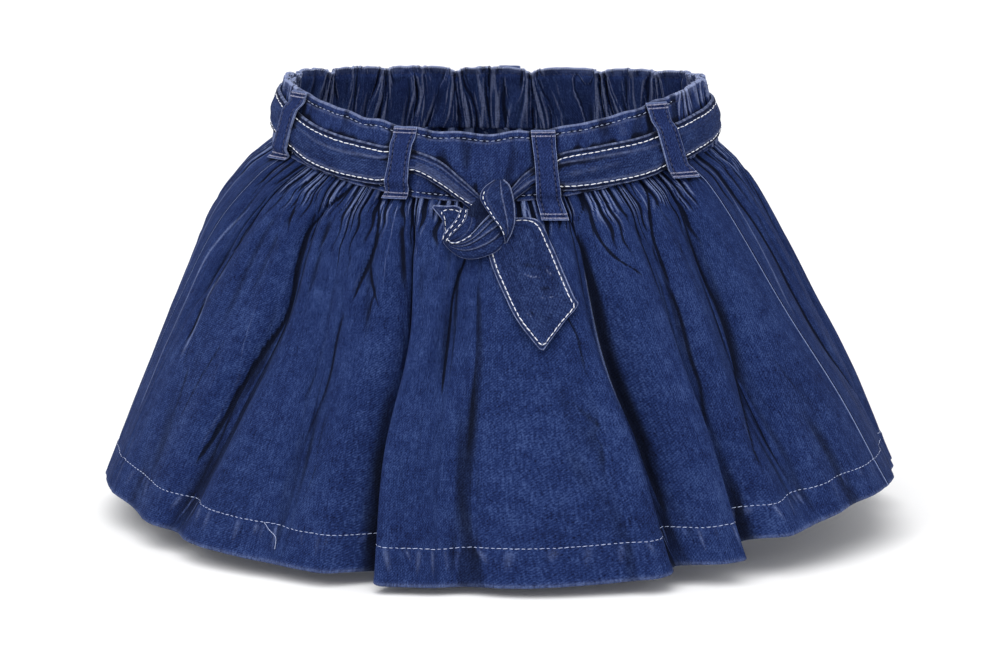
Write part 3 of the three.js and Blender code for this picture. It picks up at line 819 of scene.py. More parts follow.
def denim(name, deep, mid, light, worn, streak=1.0):
    """Washed indigo denim, a cotton twill with dyed warp and white weft. Its warp threads are uneven, so the
    dye fades in short streaks down the cloth, and ridges and edges rub to a chalky pale blue. Valleys get
    painted shade."""
    material, tree = new_material(name)
    cloth = add_node(tree, "ShaderNodeUVMap", uv_map="cloth")
    # The warp's slubs are about 0.7 mm wide and 4 mm long; one thread of 0.4 mm is too fine to show.
    slub = noise(tree, cloth, (1450, 260, 1), 2, 0.6)
    # White weft shows as specks of about a millimetre.
    speck = noise(tree, cloth, 1150, 2, 0.7)
    # The wash leaves long streaks of about 3 mm by 25 mm, and clouds of about 9 mm and 50 mm.
    streaks = noise(tree, cloth, (330, 40, 1), 3, 0.6)
    cloud = noise(tree, cloth, 110, 4, 0.6)
    wash = noise(tree, cloth, 20, 2)
    # Twill lines run up to the right; real ones are 0.8 mm apart, and these are 1.5 mm so that they show.
    lines = {"Vector": cloth, "Scale": 0.628 / 0.0015, "Distortion": 1.2, "Detail": 2, "Detail Scale": 0.6}
    twill = add_node(tree, "ShaderNodeTexWave", lines, 1, wave_type="BANDS", bands_direction="DIAGONAL")

    parts = ((slub, 0.8 * streak), (speck, 1.1), (streaks, 0.4 * streak))
    parts = (*parts, (cloud, 0.5), (wash, 0.3), (twill, 0.12))
    middle, reach = sum(weight for _, weight in parts) / 2, 0.38
    tone = mapped(tree, total(tree, *parts), middle - reach, middle + reach, 0.0, 1.0)
    colour = add_node(tree, "ShaderNodeValToRGB", {0: tone})
    ramp = colour.node.color_ramp.elements
    ramp[0].color, ramp[1].color = srgb(deep), srgb(light)
    ramp.new(0.5).color = srgb(mid)

    crest, wear = attribute(tree, "crest"), attribute(tree, "wear")
    broken = mapped(tree, total(tree, (speck, 1.0), (slub, 1.0)), 0.65, 1.3, 0.25, 1.25)
    ridge = mapped(tree, crest, 0.34, 1.0, 0.0, 0.5, interpolation_type="SMOOTHSTEP")
    for rub in (ridge, wear):
        colour = blend(tree, calc(tree, "MULTIPLY", rub, broken, use_clamp=True), colour, srgb(worn))
    # Unfaded dye stays in the valleys.
    # Painted shade: where the crest is below zero, the colour darkens towards near black.
    valley = mapped(tree, crest, -0.1, -1.1, 0.0, 0.88, interpolation_type="SMOOTHSTEP")
    colour = blend(tree, valley, colour, srgb("#04060f"))

    height = total(tree, (twill, 0.3), (slub, 0.6), (speck, 0.35))
    bump = add_node(tree, "ShaderNodeBump", {"Height": height, "Strength": 0.6, "Distance": 0.0006})
    finish_material(
        tree, Base_Color=colour, Roughness=mapped(tree, tone, 0.0, 1.0, 0.95, 0.82), Normal=bump, IOR=1.46,
        Specular_IOR_Level=0.1, Sheen_Weight=0.02, Sheen_Roughness=0.5, Sheen_Tint=srgb("#8fa0d0"),
    )
    return material


def thread(name, colour, shade):
    """Spun polyester sewing thread: two plies twisted, slightly glossy, each stitch a little paler or
    darker than the next."""
    material, tree = new_material(name)
    place = add_node(tree, "ShaderNodeTexCoord", out="Object")
    # The plies turn about every 0.9 mm.
    fibre = noise(tree, place, 1100, 2)
    both = calc(tree, "MULTIPLY", attribute(tree, "vary"), fibre)
    base = blend(tree, calc(tree, "MULTIPLY", both, 1.7, use_clamp=True), srgb(shade), srgb(colour))
    bump = add_node(tree, "ShaderNodeBump", {"Height": fibre, "Strength": 0.4, "Distance": 0.0002})
    finish_material(
        tree, Base_Color=base, Roughness=0.55, Normal=bump, IOR=1.54, Specular_IOR_Level=0.45,
        Sheen_Weight=0.1,
    )
    return material


PANEL_DENIM = denim("washed indigo denim twill", "#0a102d", "#1a2a57", "#384b7a", "#93a3d0")
BAND_DENIM = denim("waistband denim, two layers", "#0c1331", "#1d2c59", "#3c4f7d", "#929dc2", 0.9)
BELT_DENIM = denim("tie belt denim", "#0a102b", "#1b2952", "#3a4c78", "#929dc2", 0.9)
LOOP_DENIM = denim("belt loop denim", "#0c1230", "#1d2b58", "#3b4d7c", "#8f9dc6", 0.8)
PALE_THREAD = thread("pale polyester topstitch thread", "#f3f4fa", "#a3aecb")
HEM_THREAD = thread("washed hem thread", "#b7c2e2", "#6474a8")
NAVY_THREAD = thread("navy polyester topstitch thread", "#1b2754", "#070b20")
TACK_THREAD = thread("greyed bar tack thread", "#a9a9c4", "#55608f")


# ---- Camera ----

TURN, RISE, AWAY = math.radians(7), math.radians(12), 1600
LOOK_AT = (4.6 * math.cos(TURN), 4.6 * math.sin(TURN), -115)


def add_camera():
    data = bpy.data.cameras.new("camera")
    data.lens, data.sensor_width, data.sensor_fit = 111.43, 36, "HORIZONTAL"
    data.clip_start, data.clip_end = 0.1, 60
    camera = new_object("camera", data)
    back = Vector((math.sin(TURN) * math.cos(RISE), -math.cos(TURN) * math.cos(RISE), math.sin(RISE)))
    camera.location = (Vector(LOOK_AT) + back * AWAY) / 1000
    camera.rotation_euler = (-back).to_track_quat("-Z", "Y").to_euler()
    bpy.context.scene.camera = camera


add_camera()


# ---- Panels ----

FRONT = {"grain": FRONT_GRAIN, "folds": FRONT_FOLDS, "sharp": FRONT_CREASES, "worn": FRONT_WORN}
FRONT.update(gathers=50, seed=3, width=560.0)
BACK = {"grain": BACK_GRAIN, "folds": BACK_FOLDS, "sharp": BACK_CREASES, "worn": BACK_WORN}
BACK.update(gathers=36, seed=8, width=700.0)
SHARES = np.concatenate(
    [[0, 0.0005, 0.001, 0.0018], np.linspace(0.003, 0.997, 633), [0.9982, 0.999, 0.9995, 1]]
)
PANEL_ROWS = np.concatenate(
    [np.linspace(0, 0.3, 44), np.linspace(0.3, 0.89, 33)[1:], np.linspace(0.89, 1, 18)[1:]]
)


def fold_shape(panel, down, angle, ring, fade):
    """How far the folds take the cloth out and along."""
    out, along = np.zeros(angle.shape), np.zeros(angle.shape)
    folds = panel["folds"]
    for row in zip(*folds.values()):
        fold = dict(zip(folds, row))
        run = (down - fold["start"]) / (fold["end"] - fold["start"])
        centre = grain_angle(panel["grain"], mix(fold["share"], fold["share_low"], np.clip(run, 0, 1)), down)
        away = (angle - centre) * ring_scale(ring, angle)
        deep = np.where(
            run > 0.5,
            mix(fold["deep_mid"], fold["deep_low"], smooth(run * 2 - 1)),
            mix(fold["deep_top"], fold["deep_mid"], smooth(run * 2)),
        )
        deep = deep * smooth(run * 8) * smooth((1 - run) * 5) * fade
        deep = deep * bell(away, mix(fold["wide_top"], fold["wide_low"], run))
        out -= deep
        along += deep * fold["lean"]
    return out, along


def gather_shape(panel, share, down, pitch):
    """The gathers under the waistband: rounded ridges between narrow valleys, each with its own depth
    and reach, and closer puckers right under the seam."""
    turn = share * panel["gathers"]
    turn = turn + 0.3 * np.sin(2 * np.pi * 6.3 * share + 1) + 0.24 * np.sin(2 * np.pi * 15.7 * share + 2.2)
    turn = turn + 0.15 * np.sin(down * 70 + 31 * share) * smooth(down * 12)
    number = np.floor(turn)
    reach = down / mix(0.3, 1.1, uneven(number))
    depth = curve_through(np.minimum(reach, 0.24), GATHER_DEPTHS["down"], GATHER_DEPTHS["depth"])
    wave = waved(turn) ** mix(1.2, 3.2, uneven(number + 0.3))
    shape = np.minimum(depth * mix(0.5, 1.2, uneven(number + 0.5)), STEEPEST * pitch) * wave
    close = 1 - np.abs(np.sin(np.pi * (1.7 * turn + 0.4 * np.sin(turn) + down * 6))) ** 0.6
    return shape + 1.1 * close * smooth((mix(0.06, 0.13, uneven(number + 0.7)) - down) / 0.06)


def crease_shape(panel, share, down, per_share):
    """The creases placed by hand, and faint ones between them."""
    total = np.zeros(share.shape)
    for deep, left, right, line in panel["sharp"]:
        shares, downs = line.T
        away = (share - curve_through(down, downs, shares)) * per_share
        wide = np.where(away < 0, left, right)
        away = np.hypot(away, 0.25) - 0.25
        top = 1.0 if downs[0] < 0.03 else smooth((down - downs[0]) / 0.05)
        total -= deep * top * smooth((downs[-1] - down) / mix(0.05, 0.12, downs[-1])) * np.exp(-away / wide)
    random = np.random.default_rng(panel["seed"])
    for _ in range(FAINT_CREASES):
        place, start = random.uniform(0.03, 0.97), random.uniform(-0.05, 0.7)
        length = random.uniform(0.12, 0.4)
        slant, wide = random.uniform(-0.03, 0.03), random.uniform(1.0, 3.4)
        deep = random.uniform(0.2, 0.6) * random.choice([-1, 1])
        run = (down - start) / length
        bend = 0.004 * np.sin(run * random.uniform(2, 5) + random.uniform(0, 6))
        away = (share - place - slant * (run - 0.5) - bend) * per_share
        total -= deep * smooth(run * 3) * smooth((1 - run) * 2) * peak(away, wide)
    return total


def hem_puckers(panel, share, down):
    """Small puckers that the hem's stitches pull in, mostly below the stitches."""
    random = np.random.default_rng(panel["seed"] + 70)
    total = np.zeros(share.shape)
    count = int(panel["width"] / PUCKER_PITCH)
    for k in range(count):
        place, slant = (k + random.uniform(0.1, 0.9)) / count, random.uniform(-0.006, 0.006)
        deep, wide, reach = random.uniform(0.15, 0.55), random.uniform(0.6, 1.5), random.uniform(0.03, 0.09)
        below = (down - HEM_START) / reach
        away = (share - place - slant * below) * panel["width"]
        total += deep * smooth(below * 6 + 1.2) * smooth(1.2 - below) * peak(away, wide)
    return total


def panel_grid(panel):
    """A panel's outer and inner faces, its UV map, its crest, which pales the ridges as wear and darkens the
    valleys with painted shade, and how worn it is.
    """
    share, down = np.meshgrid(SHARES, PANEL_ROWS)
    angle = grain_angle(panel["grain"], share, down)
    ring = skirt_ring(down)
    fade = beside_seam(share)
    out, along = fold_shape(panel, down, angle, ring, fade)
    along = along + seam_shift(share)
    per_share = np.gradient(angle, SHARES, axis=1) * ring_scale(ring, angle)
    gathers = gather_shape(panel, share, down, per_share / panel["gathers"]) * fade
    u, v, seed = share * panel["width"], down * PANEL_LENGTH, panel["seed"]

    fine = crease_shape(panel, share, down, per_share) * fade
    fine = fine + 0.4 * ripples(u, v, 34, seed) * fade * smooth(down * 6)
    fine = fine + 0.14 * ripples(u, v, 11, seed + 5, 3.5) * fade
    # Long soft folds run on from the gathers.
    runs_on = fade * smooth(down * 6) * smooth((0.6 - down) / 0.4)
    fine = fine + 0.42 * ripples(u, v, 13, seed + 9, 11) * runs_on
    # The hem's stitches pull it in, and it puckers below them.
    in_hem = smooth((down - HEM_START) / 0.012)
    puckers = hem_puckers(panel, share, down)
    fine = fine - 0.4 * bell(down - HEM_START, 0.006) + (0.2 * in_hem + puckers) * fade
    # The seam allowance stands up a little beside each side seam.
    beside = np.minimum(share, 1 - share) * panel["width"]
    fine = fine + 0.35 * smooth((5 - beside) / 2) * smooth(beside / 0.8)

    height = skirt_height(angle, down)
    face = out - gathers + fine
    outer = on_ring(ring, angle, height, face, along)
    wall = mix(PANEL_WALL, HEM_WALL, smooth((down - HEM_START + HEM_STEP) / HEM_STEP))
    inner = outer - wall[..., None] * way_out(on_ring(ring, angle, height, out, along))

    # The crest pales ridges as wear and darkens valleys with painted shade. The shade is stronger near the
    # waist, and more is painted under and beside the belt and loops.
    fine_and_wide = (1, 0.14, 0.75, 0.35), (2, 0.2, 0.15, 0.7), (9, 0.8, 0.08, 0.55), (32, 5.0, 0.0, 0.42)
    crest = rubbed_and_shaded(face, *fine_and_wide) * mix(1.0, 0.85, down)
    crest = crest * np.where(crest > 0, mix(1.25, 0.75, smooth(down / 0.2)), 1 + 0.8 * bell(down, 0.1))
    crest = crest - 0.8 * in_shade(angle, height) * smooth((0.2 - down) / 0.05)
    # The front lies over the back at each side seam, so its edge is worn, and the back's edge, in the front's
    # shade, gets painted shade.
    crest = crest * smooth(beside / 3) - bell(beside, 0.9) * (panel is BACK)
    wear = 0.2 * smooth((down - 0.992) / 0.006) + 0.6 * np.clip(puckers - 0.08, 0, 0.5) * in_hem
    wear = wear + 1.9 * bell(beside - 0.9, 0.9) * (panel is FRONT)
    for shares, downs in (line.T for line in panel["worn"]):
        off = (share - curve_through(down, downs, shares)) * panel["width"]
        ends = smooth((downs[-1] - down) / 0.06) * smooth((down - downs[0]) / 0.04)
        wear = wear + 0.42 * bell(off, 0.9) * ends
    return outer, inner, (u, v), crest, wear


panels = {}
for name, panel in (("front_panel", FRONT), ("back_panel", BACK)):
    grids = panel_grid(panel)
    piece = one_wall(name, PANEL_DENIM, "denim", *grids, thin=2)
    panels[name] = {"outer": grids[0], "normal": way_out(grids[0]), "piece": piece}


def on_panel(name, share, down, lift):
    """Points of a panel's outer face, lifted off it, and the way out there."""
    panel = panels[name]
    rows, columns = len(PANEL_ROWS), len(SHARES)
    r = np.clip(np.interp(down, PANEL_ROWS, np.arange(rows)), 0, rows - 1.001)
    c = np.clip(np.interp(share, SHARES, np.arange(columns)), 0, columns - 1.001)
    i, j = r.astype(int), c.astype(int)
    s, t = (r - i)[..., None], (c - j)[..., None]

    def read(field):
        return mix(mix(field[i, j], field[i, j + 1], t), mix(field[i + 1, j], field[i + 1, j + 1], t), s)

    out = unit(read(panel["normal"]))
    return read(panel["outer"]) + out * lift, out


# ---- Waistbands ----


def waist_angle(grain, share):
    return mix(grain["waist"][0], grain["waist"][-1], share)


def front_band():
    """A flat, stiff band, puckered a little by its two stitch rows."""
    share, place = np.meshgrid(np.linspace(0, 1, 301), edged(FRONT_BAND_ROWS))
    down = (place + 1) / 2
    angle = waist_angle(FRONT_GRAIN, share)
    u, v = share * FRONT_BAND_LENGTH, down * BAND_DEPTH
    top_wave = 0.8 * ripples(u, v * 0, 26, 2) * (1 - down)
    height = edge_height(TOP_EDGE, angle) - BAND_DEPTH * down + top_wave * beside_seam(share)
    rows = bell(v - TOP_ROW, 0.6) + bell(v - BAND_DEPTH + SEAM_ROW, 0.7)
    out = 0.4 * ripples(u, v * 1.4, 22, 12) + 0.28 * ripples(u, v, 9, 6) - 0.35 * rows
    pucker = 0.2 * np.sin(2 * np.pi * u / PUCKER_LENGTH + 2 * ripples(u, v, 40, 9))
    out = out + pucker * (smooth((6 - v) / 4) + smooth((v - BAND_DEPTH + 6) / 4))
    outer = on_ring(band_ring(down), angle, height, out, seam_shift(share))
    inner = on_ring(band_ring(down), angle, height, out * 0.3 - BAND_WALL, seam_shift(share))
    # The stitch rows, and the cloth under and beside the belt and loops, get painted shade through a lower
    # crest.
    crest = np.tanh(out * 2.2) * np.where(out > 0, 0.5, 0.8) - 0.5 * rows - 0.8 * in_shade(angle, height)
    broken = 0.6 + 0.4 * ripples(u, v, 5, 3)
    wear = (0.3 + 0.5 * broken) * smooth((0.4 - v) / 0.3) * 0.8 + 0.3 * smooth((v - BAND_DEPTH + 0.6) / 0.5)
    wear = wear + 0.3 * bell(v - 3.5, 0.5) * broken
    grids = (outer, inner, (u, v), crest, wear)
    return one_wall("front_waistband", BAND_DENIM, "denim_band", *grids, bulge=0.45), outer


def back_band():
    """An elastic band, ruffled outside and pleated inside, with a frilled top edge."""
    share, down = np.meshgrid(np.linspace(0, 1, RUFFLES * 22 + 1), np.linspace(0, 1, 32) ** 1.15)
    angle = waist_angle(BACK_GRAIN, share)
    fade = beside_seam(share)
    u, v = share * BACK_BAND_LENGTH, down * BAND_DEPTH
    # The ruffles close up towards each dip in the top edge.
    near = np.zeros(share.shape)
    for k in range(TOP_DIPS):
        away = share - (k + 0.25) / TOP_DIPS
        near += away * 2.4 * bell(away, 0.018) * (1 - down) ** 1.2
    turn = RUFFLES * (share + near) + 0.3 * np.sin(2 * np.pi * 5.3 * share + 1)
    turn = turn + 0.2 * np.sin(2 * np.pi * 13.1 * share) + 0.1 * np.sin(4 * v / BAND_DEPTH + 9 * share)
    number = np.floor(turn)
    wave = waved(turn) ** mix(1.4, 4.0, uneven(number + 0.2))
    close = np.abs(np.sin(np.pi * (2.6 * turn + 0.5 * np.sin(turn * 1.3) + 0.3 * np.sin(v / 5)))) ** 0.6
    depth = curve_through(down, RUFFLE_DEPTHS["down"], RUFFLE_DEPTHS["depth"])
    deep = depth * (wave * mix(0.6, 1.25, uneven(number)) + 0.26 * (1 - close)) + 0.35 * ripples(u, v, 24, 7)
    notch = np.abs((share * TOP_DIPS - 0.25 + 0.5) % 1 - 0.5) / TOP_DIPS
    dip = mix(1.2, 3.4, uneven(np.floor(share * TOP_DIPS + 0.25) + 5)) * peak(notch, 0.009)
    frill = 0.5 * np.sin(2 * np.pi * 2 * turn) + 0.5 * np.sin(2 * np.pi * 3.3 * turn + 1)
    height = edge_height(TOP_EDGE, angle) - v - (dip + frill * 0.3) * (1 - down) ** 3 * fade
    outer = on_ring(band_ring(down), angle, height, -deep * fade, seam_shift(share))
    # Inside, the cloth lies in wider soft pleats between narrow grooves.
    groove = waved(turn + 0.5 + 0.12 * np.sin(v / 6 + number)) ** mix(3, 9, uneven(number + 0.6))
    finer = waved(2.3 * turn + 0.3 + 0.1 * np.sin(v / 5 + 2 * number)) ** 3 * uneven(number + 0.9)
    deepest = np.maximum(1.9 * groove * mix(0.35, 1.25, uneven(number + 0.4)), 0.8 * finer)
    pleats = 2.1 + 0.4 * deep - deepest - 0.5 * (1 - close) + 0.3 * ripples(u, v, 17, 31)
    inner_deep = mix(deep * 1.1, pleats, smooth(v / 6)) - 0.5 * bell(v - ELASTIC_ROW, 0.7)
    inner = on_ring(band_ring(down), angle, height, -inner_deep * fade - BAND_WALL + 0.6, seam_shift(share))
    # Outside, the ruffles' valleys and the cloth under and beside the belt get painted shade through a lower
    # crest. Inside, the grooves between the pleats get it too.
    crest = -rubbed_and_shaded(deep, (3, 0.16, 0.8, 0.6), (12, 0.6, 0.04, 0.7)) - 0.8 * painted_belt_shade(angle, height)
    inside = rubbed_and_shaded(inner_deep, (1, 0.07, 0.6, 0.3), (2, 0.14, 0.35, 0.4), (7, 0.5, 0.12, 0.35)) + 0.06
    wear = 0.9 * smooth((0.6 - v) / 0.5) + (0.15 + 0.6 * peak(notch, 0.008)) * smooth((3.5 - v) / 2.5) * close
    grids = (outer, inner, (u, v), crest, wear)
    piece = one_wall("back_waistband", BAND_DENIM, "denim_band", *grids, bulge=0.6, inside=inside)
    return piece, outer, inner, v[:, 0]


front_band_piece, front_band_grid = front_band()
back_band_piece, back_band_grid, back_band_inner, back_band_drop = back_band()


# ---- Belt and loops ----


def belt():
    """The belt, from the knot round the waist and back to the knot."""
    place, step = np.meshgrid(edged(BELT_ROWS), np.linspace(0, 1, BELT_STEPS), indexing="ij")
    angle = mix(BELT_ROUTE["angle"][0], BELT_ROUTE["angle"][-1], step)
    middle, half = belt_middle(angle)
    u, v = step * BELT_LENGTH, place * half
    height = middle + 0.35 * ripples(u, v * 0, 46, 21) - v
    # Near the knot the belt is bunched, so it is rounder there.
    bunched = smooth((9 - half) / 4)
    puff = (BELT_PUFF + 1.0 * bunched) * (1 - np.abs(place) ** mix(2.6, 2.0, bunched))
    # A lengthwise crease, where the folded belt has collapsed under its upper edge
    crease_at = -0.42 + 0.14 * np.sin(u / 37) + 0.08 * np.sin(u / 17 + 2)
    slack = mix(0.55 + 0.45 * np.sin(u / 29 + 1), 0.8, bunched)
    crease = slack * peak(place - crease_at, 0.09)
    edge = half - np.abs(v)
    puff = puff - 0.9 * crease + 0.45 * ripples(v * 2, u, 17, 14) * (1 - place**2)
    puff = puff + 0.2 * ripples(u, v, 8, 15) - 0.3 * bell(edge - 2.2, 0.6)
    outer = over_skirt(angle, height, BELT_GAP + BELT_WALL + puff)
    inner = over_skirt(angle, height, BELT_GAP)
    # The lengthwise crease, a line just inside each edge, and the cloth under and beside the loops get
    # painted shade through a lower crest.
    crest = np.tanh((puff - BELT_PUFF * 0.7) * 1.2) * 0.6 - 0.8 * crease - 0.6 * bell(edge - 1.0, 0.4)
    crest = crest - 0.8 * painted_loop_shade(angle, height)
    wear = (0.5 + 0.35 * ripples(u, v * 0, 5, 33)) * smooth((0.4 - edge) / 0.3)
    wear = wear + 0.25 * bell(edge - 3.0, 0.5) * (place > 0)
    wear = wear + 0.35 * bell(place - crease_at + 0.14, 0.05) * slack
    grids = (outer, inner, (v, u), crest, wear)
    return one_wall("belt", BELT_DENIM, "denim_trim", *grids, bulge=0.6), outer


belt_piece, belt_grid = belt()


def loop_lift(height, angle_top):
    """A loop clears the widest part of the belt under it."""
    middle, half = belt_middle(np.array([-3.5, 0, 3.5]) + (angle_top + 360) % 360)
    over = BELT_GAP * 2 + BELT_WALL + BELT_PUFF
    return mix(over, BELT_GAP, smooth((np.abs(height - middle[1]) - half.max()) / 5))


def belt_loop(name, seed):
    """A loop, drawn in a little at its middle. Returns its outer grid and its length."""
    angle_top, angle_low, low_end = LOOPS[name]
    side, down = np.meshgrid(edged(LOOP_COLUMNS), (edged(LOOP_ROWS) + 1) / 2)
    top_end = edge_height(TOP_EDGE, angle_top) + 0.4
    length = top_end - low_end
    height, angle = mix(top_end, low_end, down), mix(angle_top, angle_low, down)
    waist_in = 1 - 0.09 * bell(down - 0.5, 0.28) + 0.025 * np.sin(down * 9 + seed)
    half = LOOP_WIDTH / 2 / ring_scale(skirt_ring(0.0), angle) * waist_in
    v, u = down * length, side * LOOP_WIDTH / 2
    rows = bell(np.abs(side) - LOOP_SEAM, 0.08) * smooth(down * 9) * smooth((1 - down) * 9)
    ends = bell(v - 1.6, 0.9) + bell(length - v - 1.6, 0.9)
    crown = 0.3 * (1 - side**4) + 0.16 * ripples(u * 1.5, v, 9, 30 + seed) - 0.35 * rows - 0.25 * ends
    lift = loop_lift(height, angle_top)
    outer = over_skirt(angle + side * half, height, lift + LOOP_WALL + crown)
    inner = over_skirt(angle + side * half * 0.97, height, lift)
    # The stitch rows and the ends get painted shade through a lower crest.
    crest = np.tanh(crown) * 0.5 - 1.0 * rows - 0.5 * ends
    wear = 0.75 * smooth((np.abs(side) - 0.95) / 0.03) + 0.5 * smooth((0.6 - v) / 0.5)
    wear = wear + 0.5 * smooth((v - length + 0.6) / 0.5)
    wear = wear + 0.25 * bell(np.abs(side) - 0.82, 0.04) * (0.5 + 0.5 * ripples(u, v, 7, seed))
    grids = (outer, inner, (u, v), crest, wear)
    one_wall(name, LOOP_DENIM, "denim_trim", *grids, bulge=0.35)
    return outer, length


loops = [belt_loop(name, seed) for seed, name in enumerate(LOOPS)]


# ---- Belt ends and knot ----


def strip(shape, rows, steps):
    """A strip of belt, whose rows run from its left or outer edge to the other, and columns to its end."""
    place, step = np.meshgrid(edged(rows), np.linspace(0, 1, steps), indexing="ij")
    across = (place + 1) / 2
    stations = np.arange(len(shape["left_x"]))
    read = {key: curve_through(step * stations[-1], stations, column) for key, column in shape.items()}
    x, z = (mix(read[f"left_{key}"], read[f"right_{key}"], across) for key in "xz")
    width = np.hypot(read["right_x"] - read["left_x"], read["right_z"] - read["left_z"])
    run = np.cumsum(np.hypot(np.gradient(x[rows // 2]), np.gradient(z[rows // 2])))[None] * np.ones_like(x)
    edge = np.minimum(across, 1 - across) * width
    given = {"place": place, "across": across, "step": step, "x": x, "z": z, "width": width}
    return SimpleNamespace(run=run, edge=edge, **given, **read)


def drawn_in(piece, share):
    """A strip's places, drawn in towards its middle line."""
    middle_x, middle_z = (piece.left_x + piece.right_x) / 2, (piece.left_z + piece.right_z) / 2
    return mix(middle_x, piece.x, share), mix(middle_z, piece.z, share)


def belt_end(name, tail, folds, creases=()):
    """A belt end laid on the skirt."""
    end = strip(tail, 44, 96)
    x, z, edge = end.x, end.z, end.edge
    nearest = np.minimum(edge, (1 - end.step) * end.run.max() * 0.6)
    laid = folds(end.across, end.step)
    puff = 0.55 * smooth(edge / 3) + laid
    puff = puff + 0.7 * ripples(edge * 2, end.run, 11, 40) * smooth(edge / 2) + 0.2 * ripples(x, z, 6, 41)
    sharp, shade = np.zeros(x.shape), np.zeros(x.shape)
    for deep, wide, (x1, z1, x2, z2) in creases:
        ahead_x, ahead_z, size = x2 - x1, z2 - z1, math.hypot(x2 - x1, z2 - z1)
        t = ((x - x1) * ahead_x + (z - z1) * ahead_z) / size**2
        off = ((x - x1) * ahead_z - (z - z1) * ahead_x) / size + 0.5 * np.sin(t * 5 + size)
        deep = deep * smooth(t * 2) * smooth((1 - t) * 2)
        sharp += deep * peak(off / wide, 1.4)
        shade += deep * np.minimum(off / wide, 0) * bell(off / wide, 2.6)
    puff = puff + sharp - 0.35 * bell(nearest - 1.9, 0.5)
    outer = over_front(x, z, end.lift + BELT_WALL + puff)
    inner = over_front(*drawn_in(end, 0.97), end.lift + laid * 0.8)
    wear = (0.55 + 0.3 * ripples(x, z, 6, 9)) * smooth((0.4 - nearest) / 0.3)
    wear = wear + 0.3 * bell(nearest - 1.5, 0.35) * (0.5 + 0.5 * ripples(x, z, 7, 5))
    # One side of each crease, and a line just inside the edge, get painted shade through a lower crest.
    crest = np.tanh((puff - 0.5) * 1.1) * 0.35 + 0.8 * np.tanh(sharp / 0.4)
    crest = crest - 1.5 * np.tanh(np.abs(shade)) - 0.6 * bell(nearest - 0.95, 0.3)
    grids = (outer, inner, (end.across * end.width, end.run), crest, wear)
    return one_wall(name, BELT_DENIM, "denim_trim", *grids, flip=True), outer, edge


def long_folds(across, step):
    """Soft creases that fan out from the knot down the long end, and a lip along its right edge."""
    fan = bell(across - 0.30 - 0.2 * step, 0.10) + 0.8 * bell(across - 0.62 - 0.1 * step, 0.09)
    lip = bell(across - 0.9, 0.12) * smooth((0.5 - step) / 0.4)
    return 1.2 * fan * smooth((0.7 - step) / 0.7) ** 1.5 + 1.4 * lip


def short_folds(across, step):
    return 0.8 * smooth((across - 0.55) / 0.4) * smooth((1 - step) * 2)


long_piece, long_grid, long_edge = belt_end("belt_tail_long", LONG_TAIL, long_folds, LONG_CREASES)
short_piece, short_grid, short_edge = belt_end("belt_tail_short", SHORT_TAIL, short_folds)


def turn_of_belt(cloth, shape, grooves, seed):
    """Adds a turn of the knot. Returns its outer grid, and 1 if that grid's way out is outwards or -1."""
    turn = strip(shape, TURN_ROWS, 110)
    lift = mix(turn.left_lift, turn.right_lift, turn.across)
    crown = turn.crown * np.sqrt(np.clip(1 - np.abs(turn.place) ** 2.4, 0, 1))
    crown = crown + 0.22 * ripples(turn.across * turn.width * 1.6, turn.run, 10, seed)
    marks, wear = np.zeros(lift.shape), np.zeros(lift.shape)
    for at, deep, wide in grooves:
        off = turn.across - at - 0.03 * np.sin(turn.step * 5 + at * 20)
        marks += deep * peak(off, wide)
        wear += 0.55 * bell(off - 0.05, 0.018) * smooth(deep)
    outer = over_front(turn.x, turn.z, lift + crown - marks * smooth(turn.edge / 0.8))
    inner = over_front(*drawn_in(turn, 0.93), lift + crown * 0.6 - 1.8)
    wear = wear + 0.8 * smooth((0.5 - turn.edge) / 0.4)
    # The grooves, and a line just inside each edge, get painted shade through a lower crest.
    crest = np.tanh(crown - 1.5) * 0.25 - 1.1 * np.clip(marks, 0, 1) - 0.5 * bell(turn.edge - 1.0, 0.35)
    facing = 1 if way_out(outer)[..., 1].mean() < 0 else -1
    uv = (turn.across * turn.width, turn.run)
    cloth.wall(outer, inner, uv, crest, wear, bulge=0.6, flip=facing < 0)
    return outer, facing


def knot_core(ball):
    """The bunched cloth deep in the knot, which shows only as a dark hollow, painted with shade."""
    x = KNOT["x"] + 2.5 + ball[:, 0] * KNOT["half_width"] * 0.7
    z = KNOT["z"] - 1.0 + ball[:, 1] * KNOT["half_height"] * 0.72
    lift = KNOT["lift"] + 2.6 * (1 + ball[:, 2])
    return over_front(x, z, lift * (1 - 0.35 * bell(x - 2, 4) * bell(z + 40, 3)))


knot_cloth = Cloth()
ball, ball_faces = unit_ball(5)
# The core's crest of -0.75 darkens it with painted shade.
knot_cloth.add(knot_core(ball), [ball_faces], ball[:, :2] * 12, -0.75, 0.0)
knot_grids = {
    name: turn_of_belt(knot_cloth, shape, grooves, 51 + number)
    for number, (name, (shape, grooves)) in enumerate(KNOT_TURNS.items())
}
knot_cloth.make("belt_knot", BELT_DENIM)


# ---- Stitches ----


